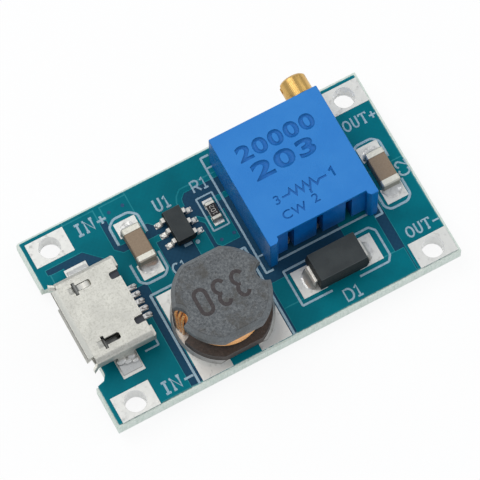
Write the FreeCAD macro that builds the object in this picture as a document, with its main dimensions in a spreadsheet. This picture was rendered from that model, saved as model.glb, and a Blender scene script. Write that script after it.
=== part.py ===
import FreeCAD, Part
import math
import os
import re

import Sketcher
from FreeCAD import Placement, Rotation, Vector

# Boost converter module: a small circuit board with a micro USB input, a multi-turn trimmer
# that lies flat, a drum inductor, a converter chip, a diode, two capacitors and a resistor.
# Frame: the origin is the centre of the four corner holes on the underside of the board,
# +X points to the output end, +Y to the edge that the adjusting screw looks over, +Z up.

doc = FreeCAD.newDocument("BoostConverterModule")
sheet = doc.addObject("Spreadsheet::Sheet", "Sizes")

# Driving dimensions in millimetres, degrees and plain counts.
DRIVING_SIZES = (
    ("hole_spacing_y", 14.25, "corner holes, centre to centre across the board"),
    ("hole_radius", 0.87, "corner holes inside their plating"),
    ("hole_plating", 0.05, "wall of the plated barrel"),
    ("board_margin_left", 2.16, "input end to the hole centres"),
    ("board_margin_right", 1.84, "output end to the hole centres"),
    ("board_margin_near", 1.27, "near edge to the hole centres"),
    ("board_margin_far", 1.58, "far edge to the hole centres"),
    ("board_thickness", 1.6, ""),
    ("score_run", 0.15, "how far the score line slopes back"),
    ("score_depth", 0.5, "how deep the score line is on each face"),
    ("recess_width", 9.2, "cut-out for the mouth of the socket"),
    ("recess_depth", 1.1, ""),
    ("recess_radius", 0.85, ""),
    ("copper_thickness", 0.05, "tinned copper on the board"),
    ("corner_pad_length", 3.3, ""),
    ("corner_pad_width", 2.2, ""),

    ("usb_setback", 0.77, "input end to the front of the folded shell, where its lips start"),
    ("usb_centre_y", -0.13, ""),
    ("usb_depth", 4.85, ""),
    ("usb_width", 7.4, ""),
    ("usb_side_run", 0.95, "how far each side wall leans in above the floor"),
    ("usb_height", 2.55, ""),
    ("usb_side_height", 1.25, "where the side walls turn inwards"),
    ("usb_sheet", 0.25, "thickness of the shell's sheet"),
    ("usb_top_fold", 0.45, "outer radius of the top folds"),
    ("usb_lower_fold", 0.5, "outer radius of the lower folds"),
    ("usb_top_lip", 0.55, ""),
    ("usb_top_lip_inset", 0.65, "each end of the lip from the side wall"),
    ("usb_top_lip_rise", 0.12, ""),
    ("usb_floor_lip", 0.4, ""),
    ("usb_floor_lip_inset", 0.3, "each end of the lip from the edge of the floor"),
    ("usb_floor_lip_drop", 0.4, ""),
    ("usb_side_lip", 0.42, ""),
    ("usb_side_lip_height", 0.95, ""),
    ("usb_side_lip_spread", 0.25, ""),
    ("usb_slot_inset", 1.26, "latch slots, from the side wall"),
    ("usb_slot_start", 1.1, "front of the cross bar of the latch slot"),
    ("usb_slot_bar", 0.27, "cross bar along the socket"),
    ("usb_slot_bar_width", 1.1, ""),
    ("usb_slot_stem", 1.2, ""),
    ("usb_slot_stem_width", 0.58, ""),
    ("usb_ramp_length", 0.45, "pressed ramp ahead of each latch slot"),
    ("usb_ramp_depth", 0.14, ""),
    ("usb_notch_inset", 1.63, "rear notches, from the side wall"),
    ("usb_notch_length", 0.78, ""),
    ("usb_notch_width", 0.62, ""),
    ("usb_notch_radius", 0.18, ""),
    ("usb_flap_width", 0.95, "rear flaps folded in from the side walls"),
    ("usb_flap_drop", 0.4, "top of the flap below the top of the shell"),
    ("usb_tab_x", 2.4, "middle of the solder tabs behind the front"),
    ("usb_tab_length", 1.4, ""),
    ("usb_tab_foot", 0.45, ""),
    ("usb_tab_root", 0.3, "how far the tab reaches up the side wall"),
    ("usb_floor_cut", 1.3, "floor cut away at the back for the contacts"),
    ("usb_floor_cut_side", 0.32, "cut past the outer contacts"),
    ("usb_block_length", 1.2, "moulded block behind the tongue"),
    ("usb_tongue_side", 0.42, "tongue past the outer contacts"),
    ("usb_tongue_height", 0.6, ""),
    ("usb_tongue_underside", 1.15, ""),
    ("usb_tongue_front", 0.65, "tip of the tongue behind the front"),
    ("usb_contact_count", 5, ""),
    ("usb_contact_pitch", 0.65, ""),
    ("usb_contact_width", 0.36, ""),
    ("usb_contact_sheet", 0.14, ""),
    ("usb_contact_tip", 0.25, "contact tip behind the tip of the tongue"),
    ("usb_contact_bend", 1.0, "bend ahead of the back of the shell"),
    ("usb_contact_tail", 0.85, "tail past the back of the shell"),
    ("usb_contact_land", 0.72, "visible land behind the shell"),
    ("usb_contact_land_width", 0.44, ""),
    ("usb_tab_land_length", 1.9, ""),
    ("usb_tab_land_out", 1.32, "land past the side wall"),
    ("usb_tab_land_width", 2.2, ""),
    ("usb_solder_height", 0.55, ""),

    ("trimmer_from_left", 16.45, "left side to the input end"),
    ("trimmer_from_right", 4.22, "right side to the output end"),
    ("trimmer_from_far", 1.24, "end with the screw to the far edge"),
    ("trimmer_width", 9.53, ""),
    ("trimmer_length", 10.03, "along the adjusting screw"),
    ("trimmer_height", 4.83, ""),
    ("trimmer_edge", 0.1, "rounded outer edges"),
    ("trimmer_side_wall", 0.45, ""),
    ("trimmer_floor_wall", 0.55, ""),
    ("trimmer_roof_wall", 0.4, ""),
    ("trimmer_end_wall", 1.0, ""),
    ("trimmer_foot_width", 0.85, ""),
    ("trimmer_foot_tip", 0.62, ""),
    ("trimmer_foot_length", 0.52, ""),
    ("trimmer_floor_setback", 1.3, "floor wall cut back behind the feet"),
    ("base_depth", 1.65, "potted base, front face to back face"),
    ("base_slot_width", 0.56, ""),
    ("base_slot_depth", 1.3, ""),
    ("pin_offset", 0.125, "middle pin to the left of the middle"),
    ("pin_pitch", 2.54, ""),
    ("pin_count", 3, ""),
    ("pin_width", 0.46, ""),
    ("pin_sheet", 0.3, ""),
    ("pin_setback", 0.85, "pin behind the front face of the base"),
    ("pin_height", 2.3, "where the pins leave the base"),
    ("pin_reach", 0.15, "inner end of the pin past the base"),
    ("pin_stick_out", 0.6, "below the board"),
    ("pin_hole_radius", 0.42, ""),
    ("pin_solder_radius", 0.8, ""),
    ("pin_solder_height", 0.5, ""),
    ("element_side_gap", 0.5, "ceramic plate with the resistance track, to the left wall"),
    ("element_right_gap", 1.03, "ceramic plate to the right wall"),
    ("element_thickness", 0.6, ""),
    ("element_end_gap", 0.05, ""),

    ("screw_inset", 1.27, "screw axis from the right side and from the top"),
    ("screw_head_radius", 1.14, ""),
    ("screw_head_out", 1.72, "head past the housing"),
    ("screw_head_edge", 0.16, ""),
    ("screw_slot_width", 0.64, ""),
    ("screw_slot_depth", 0.76, ""),
    ("screw_head_gap", 0.04, ""),
    ("screw_shaft_radius", 0.65, ""),
    ("screw_journal_radius", 0.4, ""),
    ("screw_journal_length", 0.9, ""),
    ("screw_end_play", 0.08, ""),
    ("screw_collar_radius", 0.78, "stops the screw from being pulled out"),
    ("screw_collar_width", 0.3, ""),
    ("running_clearance", 0.03, "turning and sliding fits"),
    ("seal_groove_radius", 0.38, ""),
    ("seal_groove_width", 0.3, ""),
    ("seal_section", 0.26, "side of its square section"),
    ("carriage_length", 1.2, ""),
    ("carriage_width", 3.9, ""),
    ("carriage_underside", 1.95, ""),
    ("carriage_side_gap", 0.1, ""),
    ("wiper_sheet", 0.12, ""),
    ("wiper_width", 0.7, ""),
    ("wiper_reach", 2.2, "spring strip from its root to its tip"),

    ("inductor_from_left", 11.41, "middle to the input end"),
    ("inductor_from_near", 4.3, "middle to the near edge"),
    ("inductor_diameter", 7.8, ""),
    ("inductor_flats", 7.1, ""),
    ("inductor_height", 5.0, ""),
    ("inductor_flange", 1.0, ""),
    ("inductor_post_radius", 1.9, ""),
    ("inductor_notch_radius", 0.66, ""),
    ("inductor_bevel", 0.34, ""),
    ("inductor_terminal", 0.15, ""),
    ("inductor_terminal_inset", 1.3, "inner edge of the terminals from the middle"),
    ("inductor_solder_run", 0.22, ""),
    ("inductor_solder_rise", 0.35, ""),
    ("inductor_land_span", 7.8, ""),
    ("inductor_land_length", 2.65, ""),
    ("inductor_land_width", 7.8, ""),
    ("inductor_land_shift", -0.2, ""),
    ("coil_radius", 2.9, ""),
    ("coil_belly", 0.1, "how far the middle turns stand out"),
    ("coil_rib", 0.14, "depth of the grooves between turns"),
    ("coil_turn_count", 5, ""),
    ("coil_wire_radius", 0.17, ""),
    ("coil_lead_radius", 3.45, "where the wire ends run down the notches"),

    ("diode_from_left", 21.06, "middle to the input end"),
    ("diode_from_near", 3.5, "middle to the near edge"),
    ("diode_length", 4.3, ""),
    ("diode_width", 2.6, ""),
    ("diode_height", 2.2, ""),
    ("diode_parting", 1.05, ""),
    ("diode_standoff", 0.08, ""),
    ("diode_draft", 6, ""),
    ("diode_lead_width", 1.45, ""),
    ("diode_lead_sheet", 0.2, ""),
    ("diode_lead_span", 4.85, ""),
    ("diode_lead_foot", 1.1, ""),
    ("diode_lead_root", 0.35, ""),
    ("diode_land_span", 7.05, ""),
    ("diode_land_length", 2.1, ""),
    ("diode_land_width", 2.4, ""),
    ("diode_solder", 0.7, ""),

    ("chip_from_left", 11.77, "middle to the input end"),
    ("chip_y", 3.73, ""),
    ("chip_length", 2.9, ""),
    ("chip_width", 1.6, ""),
    ("chip_height", 1.15, ""),
    ("chip_parting", 0.6, ""),
    ("chip_standoff", 0.08, ""),
    ("chip_draft", 8, ""),
    ("chip_lead_pitch", 0.95, ""),
    ("chip_lead_width", 0.4, ""),
    ("chip_lead_sheet", 0.14, ""),
    ("chip_lead_span", 2.9, ""),
    ("chip_lead_shoulder", 2.1, ""),
    ("chip_lead_foot", 0.3, ""),
    ("chip_lead_root", 0.2, ""),
    ("chip_land_span", 3.25, ""),
    ("chip_land_length", 0.6, ""),
    ("chip_land_width", 0.44, ""),

    ("capacitor_length", 3.15, ""),
    ("capacitor_width", 1.58, ""),
    ("capacitor_height", 1.25, ""),
    ("capacitor_band", 0.55, ""),
    ("capacitor_plating", 0.04, ""),
    ("capacitor_edge", 0.11, ""),
    ("capacitor_land_span", 5.25, ""),
    ("capacitor_land_length", 1.35, ""),
    ("capacitor_land_width", 1.85, ""),
    ("capacitor_solder", 0.78, ""),
    ("input_capacitor_from_left", 8.29, "middle to the input end"),
    ("input_capacitor_y", 3.8, ""),
    ("output_capacitor_from_right", 2.26, "middle to the output end"),
    ("output_capacitor_y", 0.22, ""),

    ("resistor_from_left", 14.77, "middle to the input end"),
    ("resistor_y", 3.66, ""),
    ("resistor_length", 1.58, ""),
    ("resistor_width", 0.82, ""),
    ("resistor_height", 0.45, ""),
    ("resistor_band", 0.28, ""),
    ("resistor_plating", 0.025, ""),
    ("resistor_edge", 0.06, ""),
    ("resistor_land_span", 2.3, ""),
    ("resistor_land_length", 0.75, ""),
    ("resistor_land_width", 0.85, ""),
)

# Places worked out from the driving dimensions.
DERIVED_SIZES = {
    "board_length": "trimmer_from_left + trimmer_width + trimmer_from_right",
    "hole_spacing_x": "board_length - board_margin_left - board_margin_right",
    "board_left": "-hole_spacing_x / 2 - board_margin_left",
    "board_right": "hole_spacing_x / 2 + board_margin_right",
    "board_near": "-hole_spacing_y / 2 - board_margin_near",
    "board_far": "hole_spacing_y / 2 + board_margin_far",
    "usb_front_x": "board_left + usb_setback",
    "usb_floor_width": "usb_width - 2 * usb_side_run",
    "usb_contact_row": "(usb_contact_count - 1) * usb_contact_pitch + usb_contact_width",
    "trimmer_x": "board_left + trimmer_from_left",
    "trimmer_y": "board_far - trimmer_from_far - trimmer_length",
    "inductor_x": "board_left + inductor_from_left",
    "inductor_y": "board_near + inductor_from_near",
    "diode_x": "board_left + diode_from_left",
    "diode_y": "board_near + diode_from_near",
    "chip_x": "board_left + chip_from_left",
    "resistor_x": "board_left + resistor_from_left",
    "input_capacitor_x": "board_left + input_capacitor_from_left",
    "output_capacitor_x": "board_right - output_capacitor_from_right",
    "seat": "board_thickness + copper_thickness",
    "trimmer_floor": "board_thickness",
    "base_front": "trimmer_foot_length",
    "base_back": "base_front + base_depth",
    "cavity_end": "trimmer_length - trimmer_end_wall",
    "collar_end": "cavity_end - running_clearance",
    "collar_start": "collar_end - screw_collar_width",
    "cavity_roof": "trimmer_height - trimmer_roof_wall",
    "screw_u": "trimmer_width - screw_inset",
    "screw_w": "trimmer_height - screw_inset",
    "pin_first": "trimmer_width / 2 - pin_pitch - pin_offset",
    "element_width": "trimmer_width - 2 * trimmer_side_wall - element_side_gap - element_right_gap",
    "pin_front": "base_front + pin_setback",
    "pin_inner_end": "base_back + pin_reach",
    "element_top": "trimmer_floor_wall + element_thickness",
    "core_base": "inductor_terminal",
    "winding_base": "inductor_terminal + inductor_flange",
    "winding_top": "inductor_height - inductor_flange",
}

for row, (alias, number, note) in enumerate(DRIVING_SIZES, start=1):
    sheet.set(f"A{row}", alias.replace("_", " "))
    sheet.set(f"B{row}", str(number))
    sheet.set(f"C{row}", note)
    sheet.setAlias(f"B{row}", alias)
doc.recompute()

ALIASES = {alias for alias, number, note in DRIVING_SIZES}


def cells(text):
    """Turns the names in an expression into references to the sheet's cells."""
    def reference(match):
        name = match.group(0)
        if name in DERIVED_SIZES:
            return "(" + cells(DERIVED_SIZES[name]) + ")"
        if name in ALIASES:
            return "Sizes." + name
        return name
    return re.sub(r"[a-z][a-z_]*", reference, text)


def value(text):
    """Works out an expression of the sheet's names as a plain number."""
    return float(sheet.evalExpression(cells(text)))


def bind(thing, **expressions):
    """Binds properties of an object, with two underscores for each dot."""
    for name, text in expressions.items():
        thing.setExpression(name.replace("__", "."), cells(text))
    return thing


def place(thing, x="0", y="0", z="0", turn=0):
    """Puts an object at a place bound to the sheet, turned about Z by so many degrees."""
    thing.Placement = Placement(Vector(), Rotation(Vector(0, 0, 1), turn))
    bind(thing, Placement__Base__x=x, Placement__Base__y=y, Placement__Base__z=z)
    return thing


# Which global axes a sketch's two directions and its normal follow, per origin plane.
PLANE_AXES = {"XY_Plane": (0, 1, 2), "XZ_Plane": (0, 2, 1), "YZ_Plane": (1, 2, 0)}
# A sketch on the XZ plane looks along -Y.
NORMAL_SIGN = {"XY_Plane": 1, "XZ_Plane": -1, "YZ_Plane": 1}


def new_body(label):
    """Starts a PartDesign body."""
    body = doc.addObject("PartDesign::Body", label)
    body.Label = label
    return body


def new_sketch(body, role, lift="0"):
    """Starts a sketch on one of the body's origin planes, lifted along that plane's axis."""
    planes = [feature for feature in body.Origin.OriginFeatures if feature.Role == role]
    sketch = body.newObject("Sketcher::SketchObject", body.Label + "_profile")
    sketch.AttachmentSupport = (planes[0], [""])
    sketch.MapMode = "FlatFace"
    sign = "-" if NORMAL_SIGN[role] < 0 else ""
    bind(sketch, AttachmentOffset__Base__z=f"{sign}({lift})")
    return sketch


def pin_point(sketch, geometry, point, x, y):
    """Holds a point of a sketch at coordinates bound to the sheet."""
    for kind, text in (("DistanceX", x), ("DistanceY", y)):
        constraint = Sketcher.Constraint(kind, -1, 1, geometry, point, value(text))
        index = sketch.addConstraint(constraint)
        sketch.setExpression(f"Constraints[{index}]", cells(text))


def draw_polygon(sketch, points):
    """Draws a closed outline whose corners are bound to the sheet."""
    first = sketch.GeometryCount
    count = len(points)
    places = [Vector(value(x), value(y), 0) for x, y, *rest in points]
    for index in range(count):
        line = Part.LineSegment(places[index], places[(index + 1) % count])
        sketch.addGeometry(line, False)
    for index in range(count):
        follower = first + (index + 1) % count
        sketch.addConstraint(Sketcher.Constraint("Coincident", first + index, 2, follower, 1))
    for index, (x, y, *rest) in enumerate(points):
        pin_point(sketch, first + index, 1, x, y)


def draw_rectangle(sketch, x_low, y_low, x_high, y_high):
    """Draws a rectangle between two corners."""
    draw_polygon(sketch, ((x_low, y_low), (x_high, y_low), (x_high, y_high), (x_low, y_high)))


def draw_circle(sketch, x, y, radius):
    """Draws a circle bound to the sheet."""
    centre = Vector(value(x), value(y), 0)
    index = sketch.addGeometry(Part.Circle(centre, Vector(0, 0, 1), value(radius)), False)
    pin_point(sketch, index, 3, x, y)
    constraint = sketch.addConstraint(Sketcher.Constraint("Radius", index, value(radius)))
    sketch.setExpression(f"Constraints[{constraint}]", cells(radius))


def pad(body, sketch, length, side="One side", reverse=False):
    """Adds an extrusion of a sketch."""
    feature = body.newObject("PartDesign::Pad", body.Label + "_pad")
    feature.Profile = sketch
    feature.SideType = side
    feature.Reversed = reverse
    bind(feature, Length=length)
    doc.recompute()
    return feature


def pocket(body, sketch, length, side="One side", reverse=False):
    """Cuts an extrusion of a sketch, and stops if it removes nothing."""
    before = body.Shape.Volume
    feature = body.newObject("PartDesign::Pocket", body.Label + "_pocket")
    feature.Profile = sketch
    feature.SideType = side
    feature.Reversed = reverse
    bind(feature, Length=length)
    doc.recompute()
    if not feature.Shape.Volume < before:
        raise RuntimeError(f"a pocket of {body.Label} removes nothing")
    return feature


def revolve(body, sketch, axis="V_Axis"):
    """Adds a full turn of a sketch about one of its own axes."""
    feature = body.newObject("PartDesign::Revolution", body.Label + "_turned")
    feature.Profile = sketch
    feature.ReferenceAxis = (sketch, [axis])
    feature.Angle = 360
    doc.recompute()
    return feature


def edge_names(shape, test):
    """Names the edges of a shape that pass a test."""
    return [f"Edge{index}" for index, edge in enumerate(shape.Edges, start=1) if test(edge)]


def dress(body, kind, test, **sizes):
    """Adds a fillet or chamfer on the edges that pass a test."""
    base = body.Tip
    names = edge_names(base.Shape, test)
    if not names:
        raise RuntimeError(f"no edge of {body.Label} to dress")
    feature = body.newObject("PartDesign::" + kind, body.Label + "_" + kind.lower())
    feature.Base = (base, names)
    bind(feature, **sizes)
    doc.recompute()
    return feature


def standing_on(role, corners):
    """Makes a test for the straight edges that stand on given corners of a profile."""
    across, up, along = PLANE_AXES[role]
    places = [(value(x), value(y)) for x, y in corners]

    def test(edge):
        if edge.Curve.TypeId != "Part::GeomLine":
            return False
        start, end = edge.Vertexes[0].Point, edge.Vertexes[-1].Point
        if abs(start[along] - end[along]) < edge.Length * 0.999:
            return False
        return any(math.hypot(start[across] - x, start[up] - y) < NEAR for x, y in places)
    return test


def padded_profile(label, role, points, length, side="Symmetric", lift="0"):
    """Makes a body from one closed profile; a corner with a third value is rounded by it."""
    body = new_body(label)
    sketch = new_sketch(body, role, lift)
    draw_polygon(sketch, points)
    pad(body, sketch, length, side)
    radii = {radius for x, y, *rest in points for radius in rest}
    for radius in sorted(radii):
        corners = [(x, y) for x, y, *rest in points if radius in rest]
        dress(body, "Fillet", standing_on(role, corners), Radius=radius)
    return body


def box(label, low, size):
    """Makes a Part box from its lowest corner and its three sizes."""
    thing = doc.addObject("Part::Box", label)
    thing.Label = label
    bind(thing, Length=size[0], Width=size[1], Height=size[2])
    return place(thing, *low)


def cylinder(label, base, radius, height):
    """Makes an upright Part cylinder."""
    thing = doc.addObject("Part::Cylinder", label)
    thing.Label = label
    bind(thing, Radius=radius, Height=height)
    return place(thing, *base)


def cone(label, base, lower, upper, height):
    """Makes an upright Part cone."""
    thing = doc.addObject("Part::Cone", label)
    thing.Label = label
    bind(thing, Radius1=lower, Radius2=upper, Height=height)
    return place(thing, *base)


def fuse(label, things):
    """Fuses solids into one object."""
    if len(things) == 1:
        return things[0]
    thing = doc.addObject("Part::MultiFuse", label)
    thing.Label = label
    thing.Shapes = things
    return thing


def cut(label, base, tool):
    """Cuts one object with another."""
    thing = doc.addObject("Part::Cut", label)
    thing.Label = label
    thing.Base = base
    thing.Tool = tool
    return thing


def common(label, base, tool):
    """Keeps what two objects share."""
    thing = doc.addObject("Part::Common", label)
    thing.Label = label
    thing.Base = base
    thing.Tool = tool
    return thing


NODES = {}
# Two places nearer than this, in millimetres, are the same.
NEAR = 1e-4


def node(name, thing):
    """Records an object as a finished piece under its own name."""
    thing.Label = name
    NODES[name] = thing
    return thing


SIDES = (("left", -1), ("right", 1))
CORNERS = (
    ("input_plus", -1, 1),
    ("input_minus", -1, -1),
    ("output_plus", 1, 1),
    ("output_minus", 1, -1),
)


def pin_u(index):
    """Gives the place of a trimmer pin along the housing."""
    return f"pin_first + {index} * pin_pitch"


def make_board():
    """The laminate: scored and snapped edges, socket recess, corner holes and pin holes."""
    body = new_body("board")
    outline = new_sketch(body, "XY_Plane")
    recess_low = "usb_centre_y - recess_width / 2"
    recess_high = "usb_centre_y + recess_width / 2"
    inner = "board_left + recess_depth"
    draw_polygon(outline, (
        ("board_left", "board_near"),
        ("board_right", "board_near"),
        ("board_right", "board_far"),
        ("board_left", "board_far"),
        ("board_left", recess_high),
        (inner, recess_high),
        (inner, recess_low),
        ("board_left", recess_low),
    ))
    pad(body, outline, "board_thickness")
    corners = ((inner, recess_low), (inner, recess_high))
    dress(body, "Fillet", standing_on("XY_Plane", corners), Radius="recess_radius")
    outline_box = body.Shape.BoundBox

    def on_score(edge):
        reach = edge.BoundBox
        at_ends = reach.XMax < outline_box.XMin + NEAR or reach.XMin > outline_box.XMax - NEAR
        at_sides = reach.YMax < outline_box.YMin + NEAR or reach.YMin > outline_box.YMax - NEAR
        return reach.ZLength < NEAR and (at_ends or at_sides)
    score = dress(body, "Chamfer", on_score, Size="score_run")
    score.ChamferType = "Two distances"
    bind(score, Size="score_depth", Size2="score_run")
    doc.recompute()
    top = max(body.Shape.Faces, key=lambda face: face.CenterOfMass.z)
    if top.BoundBox.XLength < value("board_right - board_left - score_depth - score_run"):
        score.FlipDirection = True
        doc.recompute()

    holes = new_sketch(body, "XY_Plane")
    for name, along, across in CORNERS:
        x = f"{along} * hole_spacing_x / 2"
        y = f"{across} * hole_spacing_y / 2"
        draw_circle(holes, x, y, "hole_radius + hole_plating")
    for index in range(int(value("pin_count"))):
        y = "trimmer_y + pin_front + pin_sheet / 2"
        draw_circle(holes, f"trimmer_x + {pin_u(index)}", y, "pin_hole_radius")
    pocket(body, holes, "board_thickness", reverse=True)
    node("board", body)


def make_corner_pads():
    """Plated holes: a tinned land on each face, joined by a barrel."""
    for name, along, across in CORNERS:
        x = f"{along} * hole_spacing_x / 2"
        y = f"{across} * hole_spacing_y / 2"
        label = f"{name}_pad"
        size = ("corner_pad_length", "corner_pad_width", "copper_thickness")
        corner = (f"{x} - corner_pad_length / 2", f"{y} - corner_pad_width / 2")
        lands = [
            box(f"{label}_top", (*corner, "board_thickness"), size),
            box(f"{label}_bottom", (*corner, "-copper_thickness"), size),
        ]
        barrel = cylinder(f"{label}_barrel", (x, y, "0"), "hole_radius + hole_plating", "board_thickness")
        solid = fuse(f"{label}_solid", lands + [barrel])
        height = "board_thickness + 4 * copper_thickness"
        drill = cylinder(f"{label}_drill", (x, y, "-2 * copper_thickness"), "hole_radius", height)
        node(label, cut(label, solid, drill))


def land(label, x, y, length, width):
    """One tinned land on the top face, centred on a place."""
    corner = (f"{x} - ({length}) / 2", f"{y} - ({width}) / 2", "board_thickness")
    return box(label, corner, (length, width, "copper_thickness"))


def end_lands(name, x, y, part, along_x):
    """The two lands of a two-ended part."""
    lands = []
    for side, sign in SIDES:
        offset = f"{sign} * ({part}_land_span - {part}_land_length) / 2"
        sizes = (f"{part}_land_length", f"{part}_land_width")
        if along_x:
            lands.append(land(f"{name}_land_{side}", f"{x} + {offset}", y, *sizes))
        else:
            lands.append(land(f"{name}_land_{side}", x, f"{y} + {offset}", *reversed(sizes)))
    return lands


def make_lands():
    """Every land that a part is soldered to, etched from the one copper layer."""
    lands = end_lands("input_capacitor", "input_capacitor_x", "input_capacitor_y", "capacitor", False)
    lands += end_lands("output_capacitor", "output_capacitor_x", "output_capacitor_y", "capacitor", False)
    lands += end_lands("resistor", "resistor_x", "resistor_y", "resistor", False)
    lands += end_lands("diode", "diode_x", "diode_y", "diode", True)
    lands += end_lands("inductor", "inductor_x", "inductor_y + inductor_land_shift", "inductor", True)
    for side, sign in SIDES:
        for row in (-1, 0, 1):
            x = f"chip_x + {sign} * (chip_land_span - chip_land_length) / 2"
            y = f"chip_y + {row} * chip_lead_pitch"
            lands.append(land(f"chip_land_{side}_{row + 2}", x, y, "chip_land_length", "chip_land_width"))
    for index in range(int(value("usb_contact_count"))):
        x = "usb_front_x + usb_depth + usb_sheet + usb_contact_land / 2"
        sizes = ("usb_contact_land", "usb_contact_land_width")
        lands.append(land(f"contact_land_{index + 1}", x, contact_y(index), *sizes))
    for side, sign in SIDES:
        y = f"usb_centre_y + {sign} * (usb_width + 2 * usb_tab_land_out - usb_tab_land_width) / 2"
        sizes = ("usb_tab_land_length", "usb_tab_land_width")
        lands.append(land(f"tab_land_{side}", "usb_front_x + usb_tab_x", y, *sizes))
    node("component_lands", fuse("component_lands", lands))


def contact_y(index):
    """Gives the place of a socket contact across the board."""
    return f"usb_centre_y + ({index} - (usb_contact_count - 1) / 2) * usb_contact_pitch"


def usb_place(thing):
    """Puts a piece of the socket in its place: its own x starts at the front of the shell."""
    return place(thing, "usb_front_x", "usb_centre_y", "seat")


USB_PROFILE = (
    ("-usb_floor_width / 2", "0", "usb_lower_fold"),
    ("usb_floor_width / 2", "0", "usb_lower_fold"),
    ("usb_width / 2", "usb_side_height", "usb_lower_fold"),
    ("usb_width / 2", "usb_height", "usb_top_fold"),
    ("-usb_width / 2", "usb_height", "usb_top_fold"),
    ("-usb_width / 2", "usb_side_height", "usb_lower_fold"),
)


def make_usb_shell():
    """The socket's shell, folded from one sheet: lips, latch slots, ramps, flaps and tabs."""
    body = padded_profile("usb_shell", "YZ_Plane", USB_PROFILE, "usb_depth", "One side")
    solid = body.Tip
    ends = []
    for index, face in enumerate(solid.Shape.Faces, start=1):
        if abs(abs(face.normalAt(0, 0).x) - 1) < 1e-6:
            ends.append(f"Face{index}")
    hollow = body.newObject("PartDesign::Thickness", "usb_shell_sheet")
    hollow.Base = (solid, ends)
    hollow.Reversed = True
    bind(hollow, Value="usb_sheet")
    doc.recompute()

    lip = new_sketch(body, "XZ_Plane")
    draw_polygon(lip, (
        ("0", "usb_height - usb_sheet"),
        ("0", "usb_height"),
        ("-usb_top_lip", "usb_height + usb_top_lip_rise"),
        ("-usb_top_lip", "usb_height + usb_top_lip_rise - usb_sheet"),
    ))
    pad(body, lip, "usb_width - 2 * usb_top_lip_inset", "Symmetric")
    lip = new_sketch(body, "XZ_Plane")
    draw_polygon(lip, (
        ("0", "0"),
        ("0", "usb_sheet"),
        ("-usb_floor_lip", "usb_sheet - usb_floor_lip_drop"),
        ("-usb_floor_lip", "-usb_floor_lip_drop"),
    ))
    pad(body, lip, "usb_floor_width - 2 * usb_floor_lip_inset", "Symmetric")
    for side, sign in SIDES:
        lip = new_sketch(body, "XY_Plane", "usb_side_height")
        draw_polygon(lip, (
            ("0", f"{sign} * (usb_width / 2 - usb_sheet)"),
            ("0", f"{sign} * usb_width / 2"),
            ("-usb_side_lip", f"{sign} * (usb_width / 2 + usb_side_lip_spread)"),
            ("-usb_side_lip", f"{sign} * (usb_width / 2 + usb_side_lip_spread - usb_sheet)"),
        ))
        pad(body, lip, "usb_side_lip_height - usb_top_fold / 2")

    bar_end = "usb_slot_start + usb_slot_bar"
    stem_end = f"{bar_end} + usb_slot_stem"
    slots = new_sketch(body, "XY_Plane", "usb_height")
    for side, sign in SIDES:
        middle = f"{sign} * (usb_width / 2 - usb_slot_inset)"
        draw_polygon(slots, (
            ("usb_slot_start", f"{middle} - usb_slot_bar_width / 2"),
            (bar_end, f"{middle} - usb_slot_bar_width / 2"),
            (bar_end, f"{middle} - usb_slot_stem_width / 2"),
            (stem_end, f"{middle} - usb_slot_stem_width / 2"),
            (stem_end, f"{middle} + usb_slot_stem_width / 2"),
            (bar_end, f"{middle} + usb_slot_stem_width / 2"),
            (bar_end, f"{middle} + usb_slot_bar_width / 2"),
            ("usb_slot_start", f"{middle} + usb_slot_bar_width / 2"),
        ))
        draw_rectangle(
            slots,
            "usb_depth - usb_notch_length", f"{sign} * (usb_width / 2 - usb_notch_inset) - usb_notch_width / 2",
            "usb_depth", f"{sign} * (usb_width / 2 - usb_notch_inset) + usb_notch_width / 2",
        )
    pocket(body, slots, "usb_sheet + usb_ramp_depth")
    soft_corners = []
    for side, sign in SIDES:
        for half in (-1, 1):
            stem_y = f"{sign} * (usb_width / 2 - usb_slot_inset) + {half} * usb_slot_stem_width / 2"
            notch_y = f"{sign} * (usb_width / 2 - usb_notch_inset) + {half} * usb_notch_width / 2"
            soft_corners.append((stem_end, stem_y))
            soft_corners.append(("usb_depth - usb_notch_length", notch_y))
    dress(body, "Fillet", standing_on("XY_Plane", soft_corners), Radius="usb_notch_radius")

    for side, sign in SIDES:
        lift = f"{sign} * (usb_width / 2 - usb_slot_inset)"
        start = "usb_slot_start - usb_ramp_length"
        under = new_sketch(body, "XZ_Plane", lift)
        draw_polygon(under, (
            (start, "usb_height - usb_sheet"),
            ("usb_slot_start", "usb_height - usb_sheet"),
            ("usb_slot_start", "usb_height - usb_sheet - usb_ramp_depth"),
        ))
        pad(body, under, "usb_slot_stem_width", "Symmetric")
        ramp = new_sketch(body, "XZ_Plane", lift)
        draw_polygon(ramp, (
            (start, "usb_height"),
            ("usb_slot_start", "usb_height"),
            ("usb_slot_start", "usb_height - usb_ramp_depth"),
        ))
        pocket(body, ramp, "usb_slot_stem_width", "Symmetric")

    for side, sign in SIDES:
        flap = new_sketch(body, "XY_Plane", "usb_side_height")
        draw_rectangle(
            flap,
            "usb_depth", f"{sign} * (usb_width / 2 - usb_flap_width)",
            "usb_depth + usb_sheet", f"{sign} * usb_width / 2",
        )
        pad(body, flap, "usb_height - usb_side_height - usb_flap_drop")
        outer = (("usb_depth + usb_sheet", f"{sign} * usb_width / 2"),)
        dress(body, "Fillet", standing_on("XY_Plane", outer), Radius="usb_sheet * 0.9")

    floor = new_sketch(body, "XY_Plane")
    draw_rectangle(
        floor,
        "usb_depth - usb_floor_cut", "-usb_contact_row / 2 - usb_floor_cut_side",
        "usb_depth", "usb_contact_row / 2 + usb_floor_cut_side",
    )
    pocket(body, floor, "usb_sheet", reverse=True)

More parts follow.
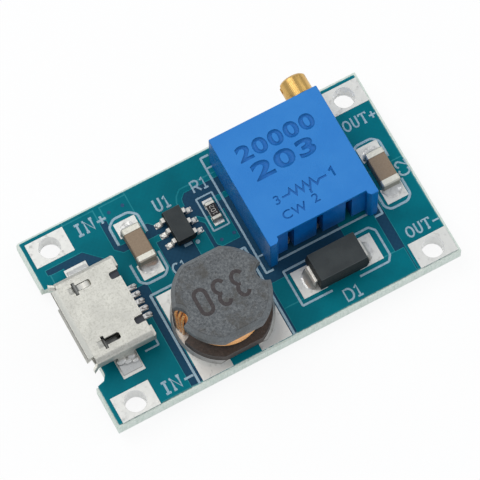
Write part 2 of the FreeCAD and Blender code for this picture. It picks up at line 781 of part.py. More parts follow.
    for side, sign in SIDES:
        wall = f"{sign} * usb_width / 2"
        inside = f"{sign} * (usb_width / 2 - usb_sheet)"
        toe = f"{sign} * (usb_width / 2 + usb_tab_foot)"
        tab = new_sketch(body, "YZ_Plane", "usb_tab_x")
        draw_polygon(tab, (
            (inside, "0"),
            (toe, "0"),
            (toe, "usb_sheet"),
            (wall, "usb_sheet"),
            (wall, "usb_side_height + usb_tab_root"),
            (inside, "usb_side_height + usb_tab_root"),
        ))
        pad(body, tab, "usb_tab_length", "Symmetric")
    node("usb_shell", usb_place(body))
    return body


def make_usb_contacts():
    """Five spring contacts: a strip under the tongue, a bend in the block and a tail."""
    tip = "usb_tongue_front + usb_contact_tip"
    bend = "usb_depth - usb_contact_bend"
    tail = "usb_depth + usb_contact_tail"
    low = "usb_tongue_underside - usb_contact_sheet"
    contacts = []
    for index in range(int(value("usb_contact_count"))):
        body = padded_profile(f"usb_contact_{index + 1}", "XZ_Plane", (
            (tip, low),
            (tip, "usb_tongue_underside"),
            (f"{bend} + usb_contact_sheet", "usb_tongue_underside"),
            (f"{bend} + usb_contact_sheet", "usb_contact_sheet"),
            (tail, "usb_contact_sheet"),
            (tail, "0"),
            (bend, "0"),
            (bend, low),
        ), "usb_contact_width")
        place(body, "usb_front_x", contact_y(index), "seat")
        contacts.append(node(f"usb_contact_{index + 1}", body))
    return contacts


def make_usb_insulator(shell, contacts):
    """The moulded block and tongue, shaped by the shell around it and the contacts in it."""
    block = padded_profile("usb_block", "YZ_Plane", USB_PROFILE, "usb_block_length", "One side",
                           "usb_depth - usb_block_length")
    usb_place(block)
    inside = box("usb_block_limit", ("usb_front_x", "usb_centre_y - usb_width / 2", "seat"),
                 ("usb_depth", "usb_width", "usb_height - usb_sheet"))
    filled = cut("usb_block_seated", common("usb_block_trimmed", block, inside), shell)
    side = "(usb_contact_row / 2 + usb_tongue_side)"
    tongue = padded_profile("usb_tongue", "XY_Plane", (
        ("usb_tongue_front", f"-{side} + usb_tongue_height"),
        ("usb_tongue_front + usb_tongue_height / 2", f"-{side}"),
        ("usb_depth - usb_block_length", f"-{side}"),
        ("usb_depth - usb_block_length", side),
        ("usb_tongue_front + usb_tongue_height / 2", side),
        ("usb_tongue_front", f"{side} - usb_tongue_height"),
    ), "usb_tongue_height", "One side", "usb_tongue_underside")
    usb_place(tongue)
    moulding = fuse("usb_moulding", [filled, tongue])
    node("usb_insulator", cut("usb_insulator", moulding, fuse("usb_contact_set", contacts)))


def trimmer_place(thing):
    """Puts a piece of the trimmer in its place: its own origin is the lowest near corner."""
    return place(thing, "trimmer_x", "trimmer_y", "trimmer_floor")


def make_trimmer_housing():
    """The moulded case: five walls, two feet at the open end and the bore for the screw."""
    body = new_body("trimmer_housing")
    outline = new_sketch(body, "XY_Plane")
    draw_rectangle(outline, "0", "0", "trimmer_width", "trimmer_length")
    pad(body, outline, "trimmer_height")

    def outer_edge(edge):
        return edge.BoundBox.ZMin > value("trimmer_edge") or edge.BoundBox.ZLength > 1
    dress(body, "Fillet", outer_edge, Radius="trimmer_edge")

    cavity = new_sketch(body, "XZ_Plane", "trimmer_foot_length")
    draw_rectangle(cavity, "trimmer_side_wall", "trimmer_floor_wall",
                   "trimmer_width - trimmer_side_wall", "cavity_roof")
    pocket(body, cavity, "cavity_end - trimmer_foot_length")

    gap = new_sketch(body, "XY_Plane")
    draw_polygon(gap, (
        ("trimmer_foot_tip", "-trimmer_foot_length"),
        ("trimmer_width - trimmer_foot_tip", "-trimmer_foot_length"),
        ("trimmer_width - trimmer_foot_tip", "0"),
        ("trimmer_width - trimmer_foot_width", "trimmer_foot_length / 2"),
        ("trimmer_width - trimmer_foot_width", "trimmer_foot_length"),
        ("trimmer_foot_width", "trimmer_foot_length"),
        ("trimmer_foot_width", "trimmer_foot_length / 2"),
        ("trimmer_foot_tip", "0"),
    ))
    pocket(body, gap, "trimmer_height", reverse=True)

    setback = new_sketch(body, "XY_Plane")
    draw_rectangle(setback, "trimmer_foot_width", "0",
                   "trimmer_width - trimmer_foot_width", "trimmer_foot_length + trimmer_floor_setback")
    pocket(body, setback, "trimmer_floor_wall", reverse=True)

    bore = new_sketch(body, "XZ_Plane", "cavity_end")
    draw_circle(bore, "screw_u", "screw_w", "screw_shaft_radius + running_clearance")
    pocket(body, bore, "trimmer_end_wall")
    node("trimmer_housing", trimmer_place(body))


def make_trimmer_pins():
    """Three flat pins: out of the base, down its slots and through the board."""
    bottom = "-board_thickness - pin_stick_out"
    pins = []
    for index in range(int(value("pin_count"))):
        body = padded_profile(f"trimmer_pin_{index + 1}", "YZ_Plane", (
            ("pin_front", bottom),
            ("pin_front + pin_sheet", bottom),
            ("pin_front + pin_sheet", "pin_height"),
            ("pin_inner_end", "pin_height"),
            ("pin_inner_end", "element_top"),
            ("pin_inner_end + pin_sheet", "element_top"),
            ("pin_inner_end + pin_sheet", "pin_height + pin_sheet", "pin_sheet * 0.8"),
            ("pin_front", "pin_height + pin_sheet", "pin_sheet * 0.8"),
        ), "pin_width")
        place(body, f"trimmer_x + {pin_u(index)}", "trimmer_y", "trimmer_floor")
        pins.append(node(f"trimmer_pin_{index + 1}", body))
    return pins


def make_trimmer_base(pins):
    """The potted base: slots for the pins and a bearing for the screw."""
    body = new_body("trimmer_base_moulding")
    outline = new_sketch(body, "XY_Plane", "trimmer_floor_wall")
    draw_rectangle(outline, "trimmer_side_wall", "base_front",
                   "trimmer_width - trimmer_side_wall", "base_back")
    pad(body, outline, "cavity_roof - trimmer_floor_wall")
    slots = new_sketch(body, "XY_Plane", "trimmer_floor_wall")
    for index in range(int(value("pin_count"))):
        draw_rectangle(
            slots,
            f"{pin_u(index)} - base_slot_width / 2", "0",
            f"{pin_u(index)} + base_slot_width / 2", "base_front + base_slot_depth",
        )
    pocket(body, slots, "trimmer_height", reverse=True)
    bearing = new_sketch(body, "XZ_Plane", "base_back")
    draw_circle(bearing, "screw_u", "screw_w", "screw_journal_radius + running_clearance")
    pocket(body, bearing, "screw_journal_length + screw_end_play", reverse=True)
    trimmer_place(body)
    node("trimmer_base", cut("trimmer_base", body, fuse("trimmer_pin_set", pins)))


def make_pin_solder(pins):
    """Solder that fills each pin hole and ends in a cone under the board."""
    for index, pin in enumerate(pins):
        label = f"trimmer_pin_solder_{index + 1}"
        x = f"trimmer_x + {pin_u(index)}"
        y = "trimmer_y + pin_front + pin_sheet / 2"
        fill = cylinder(f"{label}_fill", (x, y, "0"), "pin_hole_radius", "board_thickness")
        joint = cone(f"{label}_cone", (x, y, "-pin_solder_height"),
                     "pin_hole_radius", "pin_solder_radius", "pin_solder_height")
        node(label, cut(label, fuse(f"{label}_solid", [fill, joint]), pin))


def make_resistance_element():
    """The ceramic plate that carries the resistance track, on the floor of the housing."""
    low = ("trimmer_x + trimmer_side_wall + element_side_gap",
           "trimmer_y + base_back + element_end_gap",
           "trimmer_floor + trimmer_floor_wall")
    size = ("element_width", "cavity_end - base_back - 2 * element_end_gap", "element_thickness")
    node("resistance_element", box("resistance_element", low, size))


def make_adjusting_screw():
    """The brass screw: slotted head, neck with a groove, collar, shaft and bearing journal."""
    body = new_body("adjusting_screw")
    sketch = new_sketch(body, "XY_Plane")
    head_end = "trimmer_length + screw_head_out"
    groove = "cavity_end + trimmer_end_wall / 2 - seal_groove_width / 2"
    journal_end = "base_back - screw_journal_length"
    shaft_end = "base_back + screw_end_play"
    draw_polygon(sketch, (
        ("0", journal_end),
        ("screw_journal_radius", journal_end),
        ("screw_journal_radius", shaft_end),
        ("screw_shaft_radius", shaft_end),
        ("screw_shaft_radius", "collar_start"),
        ("screw_collar_radius", "collar_start"),
        ("screw_collar_radius", "collar_end"),
        ("screw_shaft_radius", "collar_end"),
        ("screw_shaft_radius", groove),
        ("seal_groove_radius", groove),
        ("seal_groove_radius", f"{groove} + seal_groove_width"),
        ("screw_shaft_radius", f"{groove} + seal_groove_width"),
        ("screw_shaft_radius", "trimmer_length + screw_head_gap"),
        ("screw_head_radius", "trimmer_length + screw_head_gap"),
        ("screw_head_radius", f"{head_end} - screw_head_edge"),
        ("screw_head_radius - screw_head_edge", head_end),
        ("0", head_end),
    ))
    revolve(body, sketch)
    slot = new_sketch(body, "XZ_Plane", head_end)
    draw_rectangle(slot, "-2 * screw_head_radius", "-screw_slot_width / 2",
                   "2 * screw_head_radius", "screw_slot_width / 2")
    pocket(body, slot, "screw_slot_depth", reverse=True)
    place(body, "trimmer_x + screw_u", "trimmer_y", "trimmer_floor + screw_w")
    node("adjusting_screw", body)


def make_screw_seal():
    """The square-section rubber ring in the groove of the screw's neck."""
    body = new_body("screw_seal")
    sketch = new_sketch(body, "XY_Plane")
    middle = "cavity_end + trimmer_end_wall / 2"
    draw_rectangle(sketch, "seal_groove_radius", f"{middle} - seal_section / 2",
                   "seal_groove_radius + seal_section", f"{middle} + seal_section / 2")
    revolve(body, sketch)
    place(body, "trimmer_x + screw_u", "trimmer_y", "trimmer_floor + screw_w")
    node("screw_seal", body)


def make_wiper():
    """The carriage that the screw drives, and the spring wiper under it."""
    middle = "(pin_inner_end + pin_sheet + collar_start) / 2"
    right = "trimmer_width - trimmer_side_wall - carriage_side_gap"
    low_v = f"{middle} - carriage_length / 2"
    high_v = f"{middle} + carriage_length / 2"
    body = new_body("wiper_carriage")
    outline = new_sketch(body, "XY_Plane", "carriage_underside")
    draw_rectangle(outline, f"{right} - carriage_width", low_v, right, high_v)
    pad(body, outline, "screw_w - carriage_underside")
    trough = new_sketch(body, "XZ_Plane", low_v)
    draw_circle(trough, "screw_u", "screw_w", "screw_shaft_radius + running_clearance")
    pocket(body, trough, "carriage_length")
    node("wiper_carriage", trimmer_place(body))

    root = f"{right} - carriage_width"
    strip_top = "carriage_underside"
    touch = "element_top + running_clearance"
    strip = padded_profile("wiper_contact", "XZ_Plane", (
        (f"{root} + wiper_reach", f"{strip_top} - wiper_sheet"),
        (f"{root} + wiper_reach", strip_top),
        (f"{root} + wiper_reach / 2", strip_top),
        (root, f"{touch} + wiper_sheet"),
        (root, touch),
        (f"{root} + wiper_reach / 2", f"{strip_top} - wiper_sheet"),
    ), "wiper_width", lift=middle)
    node("wiper_contact", trimmer_place(strip))


def inductor_place(thing, z="seat"):
    """Puts a piece of the inductor in its place."""
    return place(thing, "inductor_x", "inductor_y", z)


def make_inductor_core():
    """The ferrite drum: two flanges with flats, wire notches and a bevelled top edge."""
    body = new_body("inductor_core")
    half = new_sketch(body, "XZ_Plane")
    rim = "inductor_diameter / 2"
    draw_polygon(half, (
        ("0", "core_base"),
        (rim, "core_base"),
        (rim, "winding_base"),
        ("inductor_post_radius", "winding_base"),
        ("inductor_post_radius", "winding_top"),
        (rim, "winding_top"),
        (rim, "inductor_height"),
        ("0", "inductor_height"),
    ))
    revolve(body, half)
    flats = new_sketch(body, "XY_Plane")
    for side, sign in SIDES:
        draw_rectangle(flats, f"-{rim}", f"{sign} * inductor_flats / 2", rim, f"{sign} * inductor_diameter")
    pocket(body, flats, "inductor_height", reverse=True)
    notches = new_sketch(body, "XY_Plane")
    for side, sign in SIDES:
        draw_circle(notches, f"{sign} * {rim}", "0", "inductor_notch_radius")
    pocket(body, notches, "inductor_height", reverse=True)

    def top_edge(edge):
        return edge.BoundBox.ZMin > value("inductor_height") - NEAR
    dress(body, "Chamfer", top_edge, Size="inductor_bevel")
    node("inductor_core", inductor_place(body))


def make_inductor_coil():
    """The copper winding: a ribbed drum, with a wire end down each notch to its terminal."""
    body = new_body("inductor_coil_turns")
    half = new_sketch(body, "XZ_Plane")
    count = int(value("coil_turn_count"))
    pitch = "(winding_top - winding_base) / coil_turn_count"
    points = [("inductor_post_radius", "winding_top"), ("inductor_post_radius", "winding_base")]
    for index in range(count):
        crest = f"coil_radius + coil_belly * sin(180 * {index + 0.5} / coil_turn_count)"
        start = f"winding_base + {index} * {pitch}"
        points += [
            ("coil_radius - coil_rib", start),
            (crest, f"{start} + {pitch} * 0.3"),
            (crest, f"{start} + {pitch} * 0.7"),
        ]
    points.append(("coil_radius - coil_rib", "winding_top"))
    draw_polygon(half, points)
    revolve(body, half)
    inductor_place(body)
    pieces = [body]
    for side, sign in SIDES:
        lead = cylinder(f"coil_lead_{side}", ("0", "0", "0"), "coil_wire_radius",
                        "(winding_base + winding_top) / 2 - core_base")
        place(lead, f"inductor_x + {sign} * coil_lead_radius", "inductor_y", "seat + core_base")
        middle = f"{sign} * (coil_lead_radius + coil_radius - coil_rib) / 2"
        bend = box(f"coil_bend_{side}", (
            f"inductor_x + {middle} - (coil_lead_radius - coil_radius + coil_rib) / 2",
            "inductor_y - coil_wire_radius",
            "seat + (winding_base + winding_top) / 2 - 2 * coil_wire_radius",
        ), ("coil_lead_radius - coil_radius + coil_rib", "2 * coil_wire_radius", "2 * coil_wire_radius"))
        pieces += [lead, bend]
    node("inductor_coil", fuse("inductor_coil", pieces))


def make_inductor_terminals():
    """The metal terminals under the drum and the solder skirt that joins them to the lands."""
    rim = "inductor_diameter / 2"
    width = "inductor_flats"
    for side, sign in SIDES:
        low_x = f"inductor_x + {sign} * inductor_terminal_inset"
        reach = "inductor_diameter"
        if sign < 0:
            low_x = f"{low_x} - {reach}"
        low = (low_x, f"inductor_y - {width} / 2", "seat")
        disc = inductor_place(cylinder(f"terminal_disc_{side}", ("0", "0", "0"), rim, "inductor_terminal"))
        window = box(f"terminal_window_{side}", low, (reach, width, "inductor_terminal"))
        label = f"inductor_terminal_{side}"
        node(label, common(label, disc, window))

        skirt = cone(f"skirt_{side}", ("0", "0", "0"), f"{rim} + inductor_solder_run", rim,
                     "inductor_solder_rise")
        inductor_place(skirt)
        drum = cylinder(f"skirt_drum_{side}", ("0", "0", "0"), rim, "inductor_solder_rise")
        inductor_place(drum)
        ring = cut(f"skirt_ring_{side}", skirt, drum)
        window = box(f"skirt_window_{side}", low, (reach, width, "inductor_solder_rise"))
        label = f"inductor_solder_{side}"
        node(label, common(label, ring, window))


def moulded_body(label, part):
    """A moulded package with draft above and below its parting line, centred on its part."""
    body = new_body(f"{label}_moulding")
    sketch = new_sketch(body, "XY_Plane", f"{part}_parting")
    along, across = (f"{part}_length", f"{part}_width")
    if part == "chip":
        along, across = across, along
    draw_rectangle(sketch, f"-{along} / 2", f"-{across} / 2", f"{along} / 2", f"{across} / 2")
    feature = pad(body, sketch, f"{part}_height - {part}_parting", "Two sides")
    bind(feature, Length2=f"{part}_parting - {part}_standoff",
         TaperAngle=f"-{part}_draft", TaperAngle2=f"-{part}_draft")
    doc.recompute()
    return place(body, f"{part}_x", f"{part}_y", "seat")


def make_diode():
    """The rectifier diode: a moulded body and two flat leads folded under it."""
    outer = "diode_lead_span / 2"
    root = "diode_length / 2 - diode_lead_root"
    middle = "diode_parting"
    sheet_half = "diode_lead_sheet / 2"
    leads = []
    for side, sign in SIDES:
        lead = padded_profile(f"diode_lead_{side}", "XZ_Plane", (
            (root, f"{middle} - {sheet_half}"),
            (f"{outer} - diode_lead_sheet", f"{middle} - {sheet_half}"),
            (f"{outer} - diode_lead_sheet", "diode_lead_sheet"),
            (f"{outer} - diode_lead_foot", "diode_lead_sheet"),
            (f"{outer} - diode_lead_foot", "0"),
            (outer, "0", "diode_lead_sheet * 0.9"),
            (outer, f"{middle} + {sheet_half}", "diode_lead_sheet * 0.9"),
            (root, f"{middle} + {sheet_half}"),
        ), "diode_lead_width")
        place(lead, "diode_x", "diode_y", "seat", 0 if sign > 0 else 180)
        leads.append(node(f"diode_lead_{side}", lead))
    body = moulded_body("diode_body", "diode")
    node("diode_body", cut("diode_body", body, fuse("diode_lead_pair", leads)))


def make_chip():
    """The converter chip: a moulded body and six gull-wing leads."""
    tip = "chip_lead_span / 2"
    shoulder = "chip_lead_shoulder / 2"
    root = "chip_width / 2 - chip_lead_root"
    high = "chip_parting + chip_lead_sheet / 2"
    low = "chip_parting - chip_lead_sheet / 2"
    leads = []
    for side, sign in SIDES:
        for row in (-1, 0, 1):
            number = len(leads) + 1
            lead = padded_profile(f"chip_lead_{number}", "XZ_Plane", (
                (root, low),
                (f"{shoulder} - chip_lead_sheet", low),
                (f"{tip} - chip_lead_foot - chip_lead_sheet", "0"),
                (tip, "0"),
                (tip, "chip_lead_sheet"),
                (f"{tip} - chip_lead_foot", "chip_lead_sheet"),
                (shoulder, high),
                (root, high),
            ), "chip_lead_width")
            y = f"chip_y + {row} * chip_lead_pitch"
            place(lead, "chip_x", y, "seat", 0 if sign > 0 else 180)
            leads.append(node(f"chip_lead_{number}", lead))
    body = moulded_body("chip_body", "chip")
    node("chip_body", cut("chip_body", body, fuse("chip_lead_set", leads)))


def edged_block(label, x, y, z, size, edge):
    """A block with every edge taken off, centred over a place on the board."""
    body = new_body(label)
    sketch = new_sketch(body, "XY_Plane")
    width, length, height = size
    draw_rectangle(sketch, f"-({width}) / 2", f"-({length}) / 2", f"({width}) / 2", f"({length}) / 2")
    pad(body, sketch, height)
    dress(body, "Chamfer", lambda any_edge: True, Size=edge)
    return place(body, x, y, z)


def make_chip_component(name, part):
    """A two-ended ceramic part: its body and a plated metal cap round each end."""
    x, y = f"{name}_x", f"{name}_y"
    skin = f"{part}_plating"
    inner = (f"{part}_width - 2 * {skin}", f"{part}_length - 2 * {skin}", f"{part}_height - 2 * {skin}")
    outer = (f"{part}_width", f"{part}_length", f"{part}_height")
    body = edged_block(f"{name}_body", x, y, f"seat + {skin}", inner, f"{part}_edge - {skin}")
    node(f"{name}_body", body)
    for side, sign in SIDES:
        case = edged_block(f"{name}_case_{side}", x, y, "seat", outer, f"{part}_edge")
        low_y = f"{y} + {sign} * ({part}_length / 2 - {part}_band)"
        if sign < 0:
            low_y = f"{low_y} - {part}_length"
        window = box(f"{name}_window_{side}", (f"{x} - {part}_width / 2", low_y, "seat"),
                     (f"{part}_width", f"{part}_length", f"{part}_height"))
        cap = common(f"{name}_cap_{side}", case, window)
        label = f"{name}_end_{'near' if sign < 0 else 'far'}"
        node(label, cut(label, cap, body))


def make_capacitor_solder(name):
    """The hollow solder fillets at the two ends of a capacitor."""
    x, y = f"{name}_x", f"{name}_y"
    for side, sign in SIDES:
        label = f"{name}_solder_{'near' if sign < 0 else 'far'}"
        end = f"{y} + {sign} * capacitor_length / 2"
        low_y = f"{end} - capacitor_solder" if sign < 0 else end
        block = box(f"{label}_block", (f"{x} - capacitor_width / 2", low_y, "seat"),
                    ("capacitor_width", "capacitor_solder", "capacitor_solder"))
        hollow = doc.addObject("Part::Cylinder", f"{label}_hollow")
        bind(hollow, Radius="capacitor_solder * 0.94", Height="capacitor_width * 2")
        hollow.Placement = Placement(Vector(), Rotation(Vector(0, 1, 0), 90))
        bind(hollow, Placement__Base__x=f"{x} - capacitor_width",
             Placement__Base__y=f"{end} + {sign} * capacitor_solder",
             Placement__Base__z="seat + capacitor_solder")
        node(label, cut(label, block, hollow))


def make_diode_solder():
    """The hollow solder fillets outside the diode's leads."""
    for side, sign in SIDES:
        label = f"diode_solder_{side}"
        face = f"diode_x + {sign} * diode_lead_span / 2"
        low_x = f"{face} - diode_solder" if sign < 0 else face
        block = box(f"{label}_block", (low_x, "diode_y - diode_lead_width / 2", "seat"),
                    ("diode_solder", "diode_lead_width", "diode_solder"))
        hollow = doc.addObject("Part::Cylinder", f"{label}_hollow")
        bind(hollow, Radius="diode_solder * 0.94", Height="diode_lead_width * 2")
        hollow.Placement = Placement(Vector(), Rotation(Vector(1, 0, 0), 90))
        bind(hollow, Placement__Base__x=f"{face} + {sign} * diode_solder",
             Placement__Base__y="diode_y + diode_lead_width",
             Placement__Base__z="seat + diode_solder")
        node(label, cut(label, block, hollow))


def make_tab_solder(shell):
    """Solder over the socket's side tabs."""
    wall = "usb_width / 2"
    edge = "usb_width / 2 + usb_tab_land_out"
    for side, sign in SIDES:
        label = f"usb_tab_solder_{'near' if sign < 0 else 'far'}"
        mound = padded_profile(f"{label}_mound", "YZ_Plane", (
            (f"{sign} * {wall}", "0"),
            (f"{sign} * ({edge} - usb_sheet)", "0"),
            (f"{sign} * ({edge} - usb_sheet)", "usb_sheet / 4"),
            (f"{sign} * ({wall} + usb_tab_foot + usb_sheet / 2)", "usb_sheet * 1.1"),
            (f"{sign} * ({wall} + usb_sheet / 2)", "usb_sheet * 1.3"),
            (f"{sign} * {wall}", "usb_solder_height"),
        ), "usb_tab_land_length - usb_sheet", lift="usb_tab_x")
        usb_place(mound)
        node(label, cut(label, mound, shell))


def check_document():
    """Stops if any object failed, or a finished piece isn't a sound solid."""
    doc.recompute()
    for thing in doc.Objects:
        if "Invalid" in thing.State or "Error" in thing.State:
            raise RuntimeError(f"{thing.Label} failed to build: {thing.State}")
    for name, thing in NODES.items():
        shape = thing.Shape
        if shape.isNull() or not shape.isValid() or not shape.Solids:
            raise RuntimeError(f"{name} has no sound solid")


def write_parts():
    """Writes each finished piece to its own file."""
    os.makedirs("parts", exist_ok=True)
    for name, thing in NODES.items():
        thing.Shape.exportStep(f"parts/{name}.step")


make_board()
make_corner_pads()
make_lands()
usb_shell = make_usb_shell()
usb_contacts = make_usb_contacts()
make_usb_insulator(usb_shell, usb_contacts)
make_tab_solder(usb_shell)
make_trimmer_housing()
trimmer_pins = make_trimmer_pins()
make_trimmer_base(trimmer_pins)
make_pin_solder(trimmer_pins)
make_resistance_element()
make_adjusting_screw()
make_screw_seal()
make_wiper()
make_inductor_core()
make_inductor_coil()
make_inductor_terminals()
make_diode()
make_diode_solder()
make_chip()
make_chip_component("input_capacitor", "capacitor")
make_chip_component("output_capacitor", "capacitor")
make_chip_component("resistor", "resistor")
make_capacitor_solder("input_capacitor")
make_capacitor_solder("output_capacitor")
check_document()
write_parts()
print(len(NODES), "pieces written")
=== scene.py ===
"""Surface finish and fine detail of a small boost converter module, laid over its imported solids."""
import math

import bmesh
import bpy
from bpy.props import FloatProperty, FloatVectorProperty, IntProperty, PointerProperty, StringProperty
from mathutils import Matrix, Vector, noise


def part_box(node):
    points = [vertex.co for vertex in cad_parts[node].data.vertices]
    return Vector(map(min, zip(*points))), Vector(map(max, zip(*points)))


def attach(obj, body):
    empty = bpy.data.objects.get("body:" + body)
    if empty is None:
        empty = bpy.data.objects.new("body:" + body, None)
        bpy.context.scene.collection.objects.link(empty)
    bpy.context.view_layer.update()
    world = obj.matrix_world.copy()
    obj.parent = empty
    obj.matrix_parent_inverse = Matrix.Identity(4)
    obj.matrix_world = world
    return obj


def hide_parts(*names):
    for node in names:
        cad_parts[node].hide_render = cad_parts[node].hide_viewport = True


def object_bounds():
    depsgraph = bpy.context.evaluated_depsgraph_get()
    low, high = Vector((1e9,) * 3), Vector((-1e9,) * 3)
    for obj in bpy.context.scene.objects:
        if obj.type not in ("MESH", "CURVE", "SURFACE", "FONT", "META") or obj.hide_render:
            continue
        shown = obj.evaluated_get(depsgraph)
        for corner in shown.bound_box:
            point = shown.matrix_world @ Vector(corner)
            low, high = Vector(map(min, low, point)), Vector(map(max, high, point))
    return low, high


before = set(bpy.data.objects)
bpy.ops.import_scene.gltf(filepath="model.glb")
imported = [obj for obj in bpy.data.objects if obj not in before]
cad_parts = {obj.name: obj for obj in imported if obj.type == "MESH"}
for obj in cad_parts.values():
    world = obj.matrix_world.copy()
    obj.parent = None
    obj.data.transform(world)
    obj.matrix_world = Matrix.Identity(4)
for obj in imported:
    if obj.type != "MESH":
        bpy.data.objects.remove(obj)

bl_info = {
    "name": "Boost Converter Module Finish",
    "version": (1, 0, 0),
    "blender": (4, 5, 0),
    "location": "View3D > Sidebar > Module",
    "description": "Dresses the solids of a small boost converter module with its real surfaces",
    "category": "Object",
}

MM = 0.001
ROOT = "module"
CAD_BOX = [list(corner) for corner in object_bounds()]
# Sizes are in millimetres from here on. The copper layout is drawn about the middle of the mask
# opening, which is this far from the middle of the four holes.
LAYOUT_X, LAYOUT_Y = -0.19, 0.157
BOARD_TOP = 1.6
LAND_TOP = 1.65
# Points of a mesh that are nearer to each other than this are one.
MERGE = 0.002
# The two ends of a part that lies along Y, and of one that lies along X.
ENDS = (("near", -1), ("far", 1))
SIDES = (("left", -1), ("right", 1))
# The flare of the socket's top lip and the start of its latch slots, from the front of its sheet,
# and the fold of its near wall, from the side.
SHELL_FLARE = 0.5
LATCH_START = 1.64
SHELL_FOLD = 0.36
# How finely a solder fillet is drawn, outwards and along its face.
FILLET_ROWS, FILLET_COLUMNS = 9, 13


# ---------------------------------------------------------------- colours and shader maths

def srgb(red, green, blue):
    """A colour as the eye names it, 0 to 255, turned into the linear numbers of a shader."""
    linear = []
    for level in (red, green, blue):
        part = level / 255
        linear.append(part / 12.92 if part <= 0.04045 else ((part + 0.055) / 1.055) ** 2.4)
    return (*linear, 1.0)


class Wire:
    """The output of one shader node. Arithmetic on it adds Math nodes."""

    def __init__(self, paint, socket):
        self.paint = paint
        self.socket = socket

    def maths(self, operation, *values):
        return self.paint.node("ShaderNodeMath", {"operation": operation}, dict(enumerate(values)))

    def __add__(self, other):
        return self.maths("ADD", self, other)

    def __radd__(self, other):
        return self.maths("ADD", other, self)

    def __sub__(self, other):
        return self.maths("SUBTRACT", self, other)

    def __rsub__(self, other):
        return self.maths("SUBTRACT", other, self)

    def __mul__(self, other):
        return self.maths("MULTIPLY", self, other)

    def __rmul__(self, other):
        return self.maths("MULTIPLY", other, self)

    def __truediv__(self, other):
        return self.maths("DIVIDE", self, other)

    def __abs__(self):
        return self.maths("ABSOLUTE", self)

    def least(self, other):
        return self.maths("MINIMUM", self, other)

    def most(self, other):
        return self.maths("MAXIMUM", self, other)

    def sine(self):
        return self.maths("SINE", self)

    def wave(self):
        """An even wave between 0 and 1."""
        return self.sine() * 0.5 + 0.5

    def rise(self, low, high):
        """0 below low, 1 above high, and a smooth slope between them."""
        settings = {"clamp": True, "interpolation_type": "SMOOTHSTEP"}
        sockets = {"Value": self, "From Min": low, "From Max": high}
        return self.paint.node("ShaderNodeMapRange", settings, sockets)


class Paint:
    """One procedural material while it is being put together."""

    def __init__(self, name):
        self.material = bpy.data.materials.new(name)
        self.material.use_nodes = True
        self.tree = self.material.node_tree
        self.tree.nodes.clear()
        self.spot = self.node("ShaderNodeTexCoord", output="Object")

    def node(self, kind, settings=None, sockets=None, output=0):
        """Adds a node: its settings first, then the values or links of its sockets."""
        node = self.tree.nodes.new(kind)
        for key, setting in (settings or {}).items():
            if key == "stops":
                ramp = node.color_ramp
                while len(ramp.elements) < len(setting):
                    ramp.elements.new(0.5)
                for element, (position, colour) in zip(ramp.elements, setting):
                    element.position = position
                    element.color = colour
            else:
                setattr(node, key, setting)
        for key, given in (sockets or {}).items():
            if isinstance(given, Wire):
                self.tree.links.new(given.socket, node.inputs[key])
            else:
                node.inputs[key].default_value = given
        return Wire(self, node.outputs[output])

    def axis(self, letter):
        """The place along one axis of the part, in millimetres."""
        parts = self.node("ShaderNodeSeparateXYZ", None, {0: self.spot}, output=letter)
        return parts / MM

    def facing(self, letter):
        """How far the surface faces along one axis, from -1 to 1."""
        normal = self.node("ShaderNodeTexCoord", output="Normal")
        return self.node("ShaderNodeSeparateXYZ", None, {0: normal}, output=letter)

    def grain(self, size, detail=3.0, rough=0.55, stretch=None):
        """Soft noise whose lumps are about size millimetres across."""
        spot = self.spot
        if stretch:
            spot = self.node("ShaderNodeVectorMath", {"operation": "MULTIPLY"}, {0: spot, 1: stretch})
        return self.node("ShaderNodeTexNoise", None, {
            "Vector": spot, "Scale": 1 / (size * MM), "Detail": detail, "Roughness": rough})

    def specks(self, size):
        """Distance to scattered points about size millimetres apart."""
        return self.node("ShaderNodeTexVoronoi", None, {"Vector": self.spot, "Scale": 1 / (size * MM)})

    def weave(self):
        """The glass cloth of the laminate, from 0 to 1."""
        threads = (self.axis("X") * 14.0).sine() * (self.axis("Y") * 14.0).sine()
        return threads * 0.5 + 0.5

    def blend(self, amount, first, second, way="MIX"):
        """Mixes two colours."""
        return self.node("ShaderNodeMix", {"data_type": "RGBA", "blend_type": way},
                         {0: amount, 6: first, 7: second}, output=2)

    def cloudy(self, colour, shade, size=2.6, detail=4.0):
        """A colour with soft clouds of another, about size millimetres across."""
        return self.blend(self.grain(size, detail).rise(0.35, 0.7), colour, shade)

    def ramp(self, amount, *stops):
        return self.node("ShaderNodeValToRGB", {"stops": stops}, {0: amount})

    def bump(self, height, depth, normal=None, strength=1.0):
        """A relief of the given depth in millimetres."""
        sockets = {"Strength": strength, "Distance": depth * MM, "Height": height}
        if normal:
            sockets["Normal"] = normal
        return self.node("ShaderNodeBump", None, sockets)

    def done(self, **sockets):
        """Ends the material with a Principled surface."""
        named = {key.replace("_", " "): given for key, given in sockets.items()}
        return self.end(self.node("ShaderNodeBsdfPrincipled", None, named))

    def end(self, surface):
        """Ends the material with that surface."""
        output = self.tree.nodes.new("ShaderNodeOutputMaterial")
        self.tree.links.new(surface.socket, output.inputs["Surface"])
        return self.material


# ---------------------------------------------------------------- finishes

def paint_mask(name, colour, shade):
    """Solder mask: a glossy lacquer that shows the weave of the laminate under it."""
    paint = Paint(name)
    weave = paint.weave()
    tint = paint.blend(weave * 0.03, paint.cloudy(colour, shade), srgb(0, 140, 155), "SCREEN")
    normal = paint.bump(weave, 0.003, strength=0.5)
    normal = paint.bump(paint.grain(0.25, 4.0), 0.006, normal, 0.6)
    return paint.done(Base_Color=tint, Roughness=paint.grain(0.5) * 0.12 + 0.3, Normal=normal,
                      Specular_IOR_Level=0.05)


